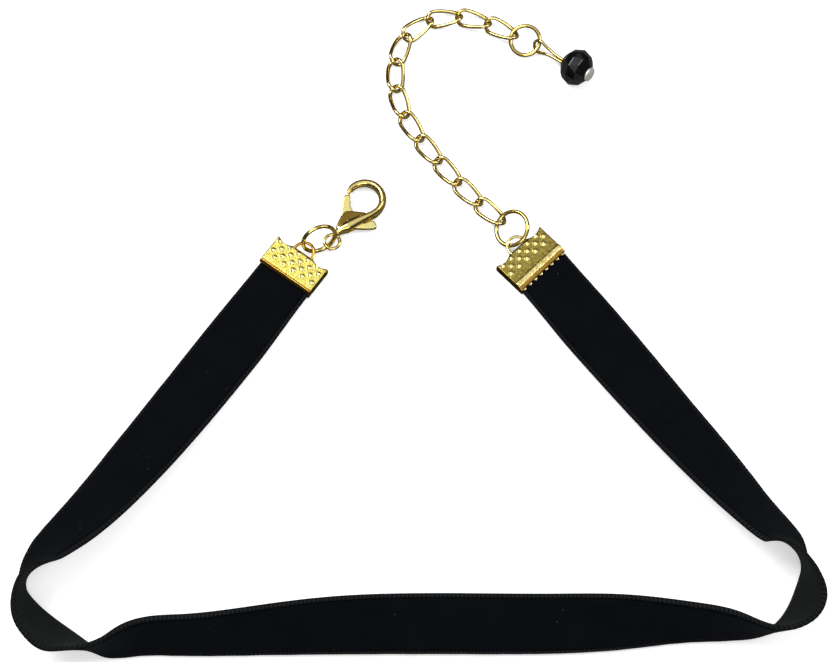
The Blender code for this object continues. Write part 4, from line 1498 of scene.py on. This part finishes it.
@dataclass
class LobsterClasp:
    """A cast lobster clasp: eye, cheeks and hook, with its lever and rivet."""

    frame: Frame
    length: float = 11.9
    height: float = 2.2
    eye_radius: float = 1.2
    eye_wire: float = 0.55
    hook_radius: float = 2.85
    hook_thickness: float = 1.2
    hook_centre: tuple[float, float] = (0.728, -0.090)
    hook_root: float = -92.0
    hook_tip: float = 98.0
    pivot: tuple[float, float] = (0.350, -0.060)
    pivot_radius: float = 0.32
    lever_thickness: float = 0.85
    arm_width: float = 1.0
    arm_tip_share: float = 0.62
    cheek_recess: float = 0.26
    rivet_proud: float = 0.03
    bar_half: float = 0.62
    voxel: float = 0.065

    def rows(self, table: Sequence[tuple[float, float]]) -> Points:
        """An outline table's places in millimetres."""
        return np.array(table) * self.length

    def plate(self, outline: Points, low: float, high: float, ease: float) -> Points:
        """A plate with eased edges.

        Args:
            outline: its corners from above.
            low: its lower height.
            high: its upper height.
            ease: how far its edges are rounded.

        Returns:
            Rows of points from the lower face to the upper.
        """
        middle = outline.mean(axis=0)
        size = np.abs(outline - middle).max()
        rows = []
        for share in (0.0, 0.33, 0.67, 1.0):
            angle = share * math.pi / 2
            inset, rise = ease * (1 - math.sin(angle)), ease * (1 - math.cos(angle))
            rows.append((inset, low + rise))
        rows += [(inset, low + high - height) for inset, height in reversed(rows)]
        points = []
        for inset, height in rows:
            shrunk = middle + (outline - middle) * (1 - inset / size)
            points.append(np.column_stack([shrunk, np.full(len(outline), height)]))
        return np.array(points)

    def round_corners(self, outline: Points, rounds: int = 3) -> Points:
        """Cuts an outline's corners again and again, until it runs smoothly.

        Args:
            outline: its corners from above.
            rounds: how often they are cut.

        Returns:
            The smoother outline.
        """
        for _ in range(rounds):
            after = np.roll(outline, -1, axis=0)
            pairs = np.stack([0.78 * outline + 0.22 * after, 0.22 * outline + 0.78 * after], axis=1)
            outline = pairs.reshape(-1, 2)
        return outline

    def spine(self) -> Points:
        """Rows of points round the spine and hook, from the neck to the tip.

        Returns:
            One row for each station.
        """
        stations = list(np.array(SPINE_TABLE) * (self.length, self.length, self.length, self.height))
        centre = np.array(self.hook_centre) * self.length
        turns = np.linspace(self.hook_root, self.hook_tip, 13)[1:]
        for turn, share in zip(np.radians(turns), np.linspace(1.0, 0.0, len(turns))):
            up, side = centre + self.hook_radius * np.array([math.cos(turn), math.sin(turn)])
            # Thickest in the bend, slimmer to the tip.
            width = self.hook_thickness * (0.62 + 0.42 * math.sin(math.pi * (0.15 + 0.6 * share)))
            stations.append((up, side, width, self.height * (0.6 + 0.3 * share)))
        table = np.array(stations)
        knots = chord_lengths(table[:, :2])
        fine = natural_spline(knots, table, np.linspace(0, knots[-1], 90))
        heading = unit(np.gradient(fine[:, :2], axis=0))
        across = np.column_stack([-heading[:, 1], heading[:, 0], np.zeros(len(fine))])
        around = full_turn(24)
        wide = np.cos(around)
        high = np.sin(around)
        middle = np.column_stack([fine[:, :2], np.full(len(fine), self.height / 2)])
        rows = middle[:, None] + (fine[:, 2] / 2)[:, None, None] * wide[None, :, None] * across[:, None]
        rows[..., 2] += (fine[:, 3] / 2)[:, None] * high
        return rows

    def eye(self) -> Points:
        """Rows of points round the eye's ring.

        Returns:
            One row for each step round the eye.
        """
        turns = full_turn(48)
        outward = np.column_stack([np.cos(turns), np.sin(turns), np.zeros(48)])
        line = outward * self.eye_radius + self.height / 2 * UP
        return Wire(line, outward, self.eye_wire, sides=14).rows()

    def circle(self, radius: float) -> Points:
        """A round outline about the pivot."""
        turns = full_turn(28)
        return np.array(self.pivot) * self.length + radius * np.column_stack([np.cos(turns), np.sin(turns)])

    def solid(self, name: str, rows: Points, wrap: bool = False) -> bpy.types.Object:
        """A closed helper solid in the layout.

        Args:
            name: its name.
            rows: its rows of points in the clasp's frame.
            wrap: joins the last row to the first.

        Returns:
            The helper, linked to the scene.
        """
        sketch = Sketch()
        sketch.grid(self.frame.out(rows), wrap=wrap, caps=not wrap)
        return link(bpy.data.objects.new(name, sketch.mesh(name, 40)))

    def carve(
        self, name: str, base: Points, joined: Sequence[tuple[Points, bool]], cut: Sequence[Points]
    ) -> bpy.types.Object:
        """Joins and cuts solids, then melts their edges a little, as a casting's are.

        Args:
            name: the piece's name.
            base: rows of the first solid.
            joined: rows of each solid to add, and whether it wraps.
            cut: rows of each solid to take away.

        Returns:
            The finished piece, with no modifiers left.
        """
        piece = self.solid(name, base)
        helpers = [(self.solid(f"{name}_join", rows, wrap), "UNION") for rows, wrap in joined]
        helpers += [(self.solid(f"{name}_cut", rows), "DIFFERENCE") for rows in cut]
        for helper, operation in helpers:
            modifier = piece.modifiers.new(helper.name, "BOOLEAN")
            modifier.operation = operation
            modifier.object = helper
        melt = piece.modifiers.new("melt", "REMESH")
        melt.mode = "VOXEL"
        melt.voxel_size = self.voxel * MM
        ease = piece.modifiers.new("ease", "SMOOTH")
        ease.factor = 0.5
        ease.iterations = 9
        graph = bpy.context.evaluated_depsgraph_get()
        final = bpy.data.meshes.new_from_object(piece.evaluated_get(graph))
        piece.modifiers.clear()
        piece.data = final
        for helper, _ in helpers:
            bpy.data.objects.remove(helper)
        final.shade_smooth()
        return piece

    def paint_cheek_shade(self, piece: bpy.types.Object) -> None:
        """Paints shade on the flat of both cheeks, beside the spine, by giving those faces the second, dark
        brown finish.

        Args:
            piece: the clasp's body.
        """
        outline = self.round_corners(self.rows(CHEEK_TABLE))
        spine = np.array(SPINE_TABLE)[:, :2] * self.length
        after = np.roll(outline, -1, axis=0)
        count = len(piece.data.polygons)
        places, normals = np.empty(count * 3), np.empty(count * 3)
        piece.data.polygons.foreach_get("center", places)
        piece.data.polygons.foreach_get("normal", normals)
        places = places.reshape(-1, 3) / MM - Layout.SHIFT
        x, y = ((places - self.frame.origin) @ self.frame.axes.T)[:, :2].T
        below = (outline[:, 1] > y[:, None]) != (after[:, 1] > y[:, None])
        rise = np.where(after[:, 1] == outline[:, 1], 1.0, after[:, 1] - outline[:, 1])
        crossing = outline[:, 0] + (y[:, None] - outline[:, 1]) * (after[:, 0] - outline[:, 0]) / rise
        inside = (below & (x[:, None] < crossing)).sum(axis=1) % 2 == 1
        beside = y > np.interp(x, spine[:, 0], spine[:, 1]) + self.bar_half
        flat = np.abs(normals.reshape(-1, 3)[:, 2]) > 0.6
        piece.data.polygons.foreach_set("material_index", (inside & beside & flat).astype(np.int32))

    def lever_outline(self) -> Points:
        """The lever from above, round its gate arm, tip and thumb tab.

        Returns:
            The outline's corners.
        """
        pivot = np.array(self.pivot) * self.length
        turn = math.radians(self.hook_tip)
        tip = np.array(self.hook_centre) * self.length
        tip += self.hook_radius * np.array([math.cos(turn), math.sin(turn)])
        tip[0] -= 2 * CLEARANCE
        arm = unit(tip - pivot)
        left = np.array([-arm[1], arm[0]])
        width = self.arm_width
        # Behind the pivot, both corners of the tip, then the arm's inner side.
        gate = [
            pivot + left * 1.25 * width - arm * 0.4,
            pivot + left * 1.25 * width + arm * 1.2,
            tip + left * self.arm_tip_share * width,
            tip - left * self.arm_tip_share * width,
            pivot + arm * 2.4 - left * 0.25 * width,
        ]
        return np.vstack([gate, self.rows(TAB_TABLE)])

    def build(self, finishes: Finishes) -> None:
        """Builds the body, the lever and the rivet.

        Args:
            finishes: the choker's materials.
        """
        middle = self.height / 2
        gap = self.lever_thickness / 2 + CLEARANCE
        low, high = self.cheek_recess, self.height - self.cheek_recess
        cheeks = self.plate(self.round_corners(self.rows(CHEEK_TABLE)), low, high, 0.3)
        slot_rows = self.plate(self.rows(SLOT_TABLE), middle - gap, middle + gap, 0.0)
        joined = [(cheeks, False), (self.eye(), True)]
        body = self.carve("cast_clasp", self.spine(), joined, [slot_rows[[0, -1]]])
        # Painted shade on the flats of the cheeks.
        self.paint_cheek_shade(body)
        dress(body, [finishes.gold_cast, finishes.gold_painted_shade], ["clasp_body"])
        half = self.lever_thickness / 2
        outline = self.round_corners(self.lever_outline(), 2)
        lever_rows = self.plate(outline, middle - half, middle + half, 0.2)
        hole_rows = self.plate(self.circle(self.pivot_radius + CLEARANCE), -1.0, self.height + 1.0, 0.0)
        lever = self.carve("spring_lever", lever_rows, [], [hole_rows[[0, -1]]])
        dress(lever, [finishes.gold_lever], ["clasp_lever"], LEVER_BODY)
        sketch = Sketch()
        proud = self.rivet_proud
        rivet = self.plate(self.circle(self.pivot_radius), low - proud, high + proud, 0.08)
        sketch.grid(self.frame.out(rivet), caps=True)
        # The rivet carries the cheeks' painted shade.
        sketch.piece("lever_rivet", [finishes.gold_painted_shade], "gold", ["clasp_pin"])


@dataclass
class Drop:
    """The bead on its head pin, which ends in a long loop."""

    contact: Points
    heading: Points
    ring_diameter: float = 5.4
    ring_tilt: float = 18.0
    ring_cut: float = 200.0
    pitch: float = 13.5
    turn: float = -7.5
    axis_turn: float = -10.0
    loop_roll: float = 62.0
    bead_diameter: float = 6.2
    bead_thickness: float = 4.6
    bead_hole: float = 0.9
    bead_sides: int = 12
    flat_share: float = 0.42
    shoulder_share: float = 0.84
    shoulder_place: float = 0.56
    wire: float = 0.5
    head_diameter: float = 2.4
    head_thickness: float = 0.4
    loop_length: float = 6.3
    loop_radius: float = 1.1

    def __post_init__(self) -> None:
        """Works out the drop's jump ring and the bead's frame."""
        bearing = math.degrees(math.atan2(self.heading[1], self.heading[0]))
        probe = JumpRing(self.contact, bearing, self.ring_tilt, self.ring_diameter, self.ring_cut)
        middle = self.contact + self.heading * (probe.radius - (probe.wire + probe.slack) / 2)
        self.ring = JumpRing(middle, bearing, self.ring_tilt, self.ring_diameter, self.ring_cut)
        pitch = math.radians(self.pitch)
        axis = math.cos(pitch) * level(bearing + self.axis_turn) + math.sin(pitch) * UP
        distance = self.ring.radius + self.bead_thickness / 2 + self.loop_length - self.loop_radius
        height = self.bead_diameter / 2 * math.cos(pitch)
        origin = np.array([*middle, height]) + level(bearing + self.turn) * distance
        self.frame = Frame(origin, turn_frame(axis))

    def bead(self, finishes: Finishes) -> bpy.types.Object:
        """Builds the faceted bead with its drilled hole.

        Args:
            finishes: the choker's materials.

        Returns:
            The bead.
        """
        radius, half, count = self.bead_diameter / 2, self.bead_thickness / 2, self.bead_sides
        flat, shoulder, bore = self.flat_share * radius, self.shoulder_share * radius, self.bead_hole / 2
        place = self.shoulder_place * half
        rings = ((half, flat, 0.0), (place, shoulder, 0.5), (0.0, radius, 0.0))
        rings += ((-place, shoulder, 0.5), (-half, flat, 0.0), (half, bore, 0.0), (-half, bore, 0.0))
        sketch = Sketch()
        for x, reach, shift in rings:
            turns = (np.arange(count) + shift) * 2 * math.pi / count
            points = np.column_stack([np.full(count, x), reach * np.cos(turns), reach * np.sin(turns)])
            sketch.points.extend(map(tuple, self.frame.out(points)))

        def corner(ring: int, place: int) -> int:
            """Number of a point on a ring."""
            return ring * count + place % count

        for place in range(count):
            beside = place + 1
            for ring in range(4):
                here = (corner(ring, place), corner(ring, beside))
                there = (corner(ring + 1, place), corner(ring + 1, beside))
                if ring % 2 == 0:
                    sketch.faces += [(*here, there[0]), (here[1], there[1], there[0])]
                else:
                    sketch.faces += [(*here, there[1]), (here[0], there[1], there[0])]
            for one, two in ((0, 5), (4, 6), (5, 6)):
                face = (corner(one, place), corner(one, beside), corner(two, beside), corner(two, place))
                sketch.faces.append(face)
        sketch.finishes = [0] * len(sketch.faces)
        sketch.corners = [(0.0, 0.0)] * sum(map(len, sketch.faces))
        bead = sketch.piece("cut_bead", [finishes.glass], "black_glass", ["bead"])
        bead.data.shade_flat()
        ease = bead.modifiers.new("polished_edges", "BEVEL")
        ease.width = 0.05 * MM
        ease.segments = 2
        ease.limit_method = "ANGLE"
        ease.angle_limit = math.radians(12)
        return bead

    def pin(self, finishes: Finishes) -> bpy.types.Object:
        """Builds the head pin with its loop.

        Args:
            finishes: the choker's materials.

        Returns:
            The pin.
        """
        shank_end = -self.bead_thickness / 2 - 0.5
        loop_middle = -self.bead_thickness / 2 - self.loop_length + self.loop_radius
        start = self.bead_thickness / 2 + CLEARANCE
        flat = [(x, 0.0) for x in np.linspace(start, shank_end, 9)]
        for turn in np.radians(np.linspace(60, 300, 11)):
            flat.append((loop_middle + self.loop_radius * math.cos(turn), self.loop_radius * math.sin(turn)))
        flat.append((shank_end - 0.1, -(self.wire + CLEARANCE)))
        knots = chord_lengths(np.array(flat))
        line = natural_spline(knots, np.array(flat), np.linspace(0, knots[-1], 90))
        roll = math.radians(self.loop_roll)
        line = np.column_stack([line[:, 0], line[:, 1] * math.cos(roll), line[:, 1] * math.sin(roll)])
        plane = np.array([0, -math.sin(roll), math.cos(roll)]) @ self.frame.axes
        sketch = Sketch()
        outward = np.repeat(plane[None], len(line), axis=0)
        Wire(self.frame.out(line), outward, self.wire, closed=False).draw(sketch)
        head = self.head_diameter / 2
        turns = full_turn(32)
        rows = []
        for x, radius in (
            (start, 0.5 * head),
            (start, 0.93 * head),
            (start + 0.2 * self.head_thickness, head),
            (start + 0.7 * self.head_thickness, 0.97 * head),
            (start + 0.95 * self.head_thickness, 0.82 * head),
            (start + self.head_thickness, 0.4 * head),
        ):
            rows.append(np.column_stack([np.full(32, x), radius * np.cos(turns), radius * np.sin(turns)]))
        sketch.grid(self.frame.out(np.array(rows)), 1, caps=True)
        return sketch.piece("head_pin", [finishes.gold, finishes.silver], "gold", ["drop_pin"])

    def build(self, finishes: Finishes) -> None:
        """Builds the ring, the pin and the bead.

        Args:
            finishes: the choker's materials.
        """
        self.ring.build("jump_ring_drop", "ring_drop", finishes)
        self.bead(finishes)
        self.pin(finishes)


@dataclass
class Studio:
    """Pale floor, soft light and the camera."""

    floor_half: float = 3.0
    lens: float = 144.0
    eye: tuple[float, float, float] = (-0.000385, -0.178406, 0.4886)
    tilt: float = 20.0
    walls: Colour = (0.03, 0.03, 0.03)
    ceiling: Colour = (0.80, 0.80, 0.80)
    dim_below: float = 0.50
    bright_above: float = 0.93
    floor_drop: float = 0.00005
    sensor_width: float = 36.0

    def floor(self, finishes: Finishes) -> None:
        """Lays the floor just under the choker.

        Args:
            finishes: the choker's materials.
        """
        half = self.floor_half
        mesh = bpy.data.meshes.new("floor")
        corners = [(-half, -half, 0), (half, -half, 0), (half, half, 0), (-half, half, 0)]
        mesh.from_pydata(corners, [], [(0, 1, 2, 3)])
        floor = bpy.data.objects.new("floor", mesh)
        floor.location.z = -self.floor_drop
        mesh.materials.append(finishes.floor)
        link(floor)

    def lamp(self, name: str, place: Sequence[float], size: Sequence[float], power: float) -> None:
        """Adds a soft rectangular lamp that faces the choker.

        Args:
            name: its name.
            place: where it hangs, in metres.
            size: its width and height in metres.
            power: its power in watts.
        """
        light = bpy.data.lights.new(name, "AREA")
        light.shape = "RECTANGLE"
        light.size, light.size_y = size
        light.energy = power
        obj = bpy.data.objects.new(name, light)
        obj.location = place
        obj.rotation_euler = (-Vector(place)).to_track_quat("-Z", "Y").to_euler()
        link(obj)

    def room(self) -> None:
        """Sets the room's own light: soft overhead, darker towards the walls."""
        world = bpy.data.worlds.new("room")
        world.use_nodes = True
        sheet = NodeSheet(world.node_tree)
        place = sheet.add("ShaderNodeTexCoord").outputs["Generated"]
        up = sheet.add("ShaderNodeSeparateXYZ", {"Vector": place}).outputs["Z"]
        shade = sheet.mix(sheet.span(up, self.dim_below, self.bright_above), self.walls, self.ceiling)
        light = sheet.add("ShaderNodeBackground", {"Color": shade, "Strength": 1.0})
        sheet.add("ShaderNodeOutputWorld", {"Surface": light.outputs[0]})
        bpy.context.scene.world = world

    def build(self, finishes: Finishes) -> None:
        """Sets the floor, the lamps, the room's light and the camera.

        Args:
            finishes: the choker's materials.
        """
        self.floor(finishes)
        self.lamp("window_light", (-0.55, 0.35, 0.95), (0.45, 0.8), 9.0)
        self.lamp("fill_light", (0.85, 0.1, 0.75), (0.3, 0.7), 4.5)
        self.lamp("front_light", (0.1, -0.95, 0.85), (0.9, 0.3), 4.0)
        self.room()
        bpy.context.scene.view_settings.view_transform = "Standard"
        camera = bpy.data.cameras.new("camera")
        camera.lens = self.lens
        camera.sensor_width = self.sensor_width
        obj = bpy.data.objects.new("camera", camera)
        obj.location = self.eye
        obj.rotation_euler = (math.radians(self.tilt), 0.0, 0.0)
        bpy.context.scene.camera = link(obj)


# Each ring's bearing, tilt, diameter and cut.
CLASP_RING = (23.0, 71.0, 6.0, 150.0)
CHAIN_RING = (-76.0, 29.0, 6.15, 250.0)
CHAIN_RING_PLACE = (2.85, -1.48, 0.0)
CLASP_BEARING = 61.5


def build_choker(finishes: Finishes) -> None:
    """Builds every piece in order along the choker, and logs each.

    Args:
        finishes: the choker's materials.
    """
    ribbon = Ribbon()
    ribbon.build(finishes)
    left, right = Crimp.at(Side.LEFT, ribbon), Crimp.at(Side.RIGHT, ribbon)
    left.build(finishes)
    right.build(finishes)

    clasp_ring = JumpRing(np.zeros(2), *CLASP_RING)
    hole = left.frame.out(np.array([(Layout.CRIMP_LOOP_REACH - Layout.CRIMP_LOOP_BAR) / 2, 0.0, 0.0]))
    start = hole - clasp_ring.offset(Layout.loop_level(), -1)
    clasp_ring = JumpRing(start[:2], *CLASP_RING)
    clasp_ring.build("jump_ring_clasp", "ring_clasp", finishes)
    eye = clasp_ring.middle + clasp_ring.offset(LobsterClasp.height / 2, 1)
    clasp = LobsterClasp(Frame(np.array([eye[0], eye[1], 0.0]), turn_frame(level(CLASP_BEARING))))
    clasp.build(finishes)

    middle = right.frame.out(np.array(CHAIN_RING_PLACE))
    chain_ring = JumpRing(middle[:2], *CHAIN_RING)
    chain_ring.build("jump_ring_chain", "ring_chain", finishes)
    contact, heading = ExtensionChain(chain_ring).build(finishes)
    Drop(contact, heading).build(finishes)


def main() -> None:
    """Loads the frame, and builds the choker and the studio."""
    logging.basicConfig(level=logging.INFO, format="%(message)s")
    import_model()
    finishes = Finishes()
    build_choker(finishes)
    Studio().build(finishes)


if __name__ == "__main__":
    main()
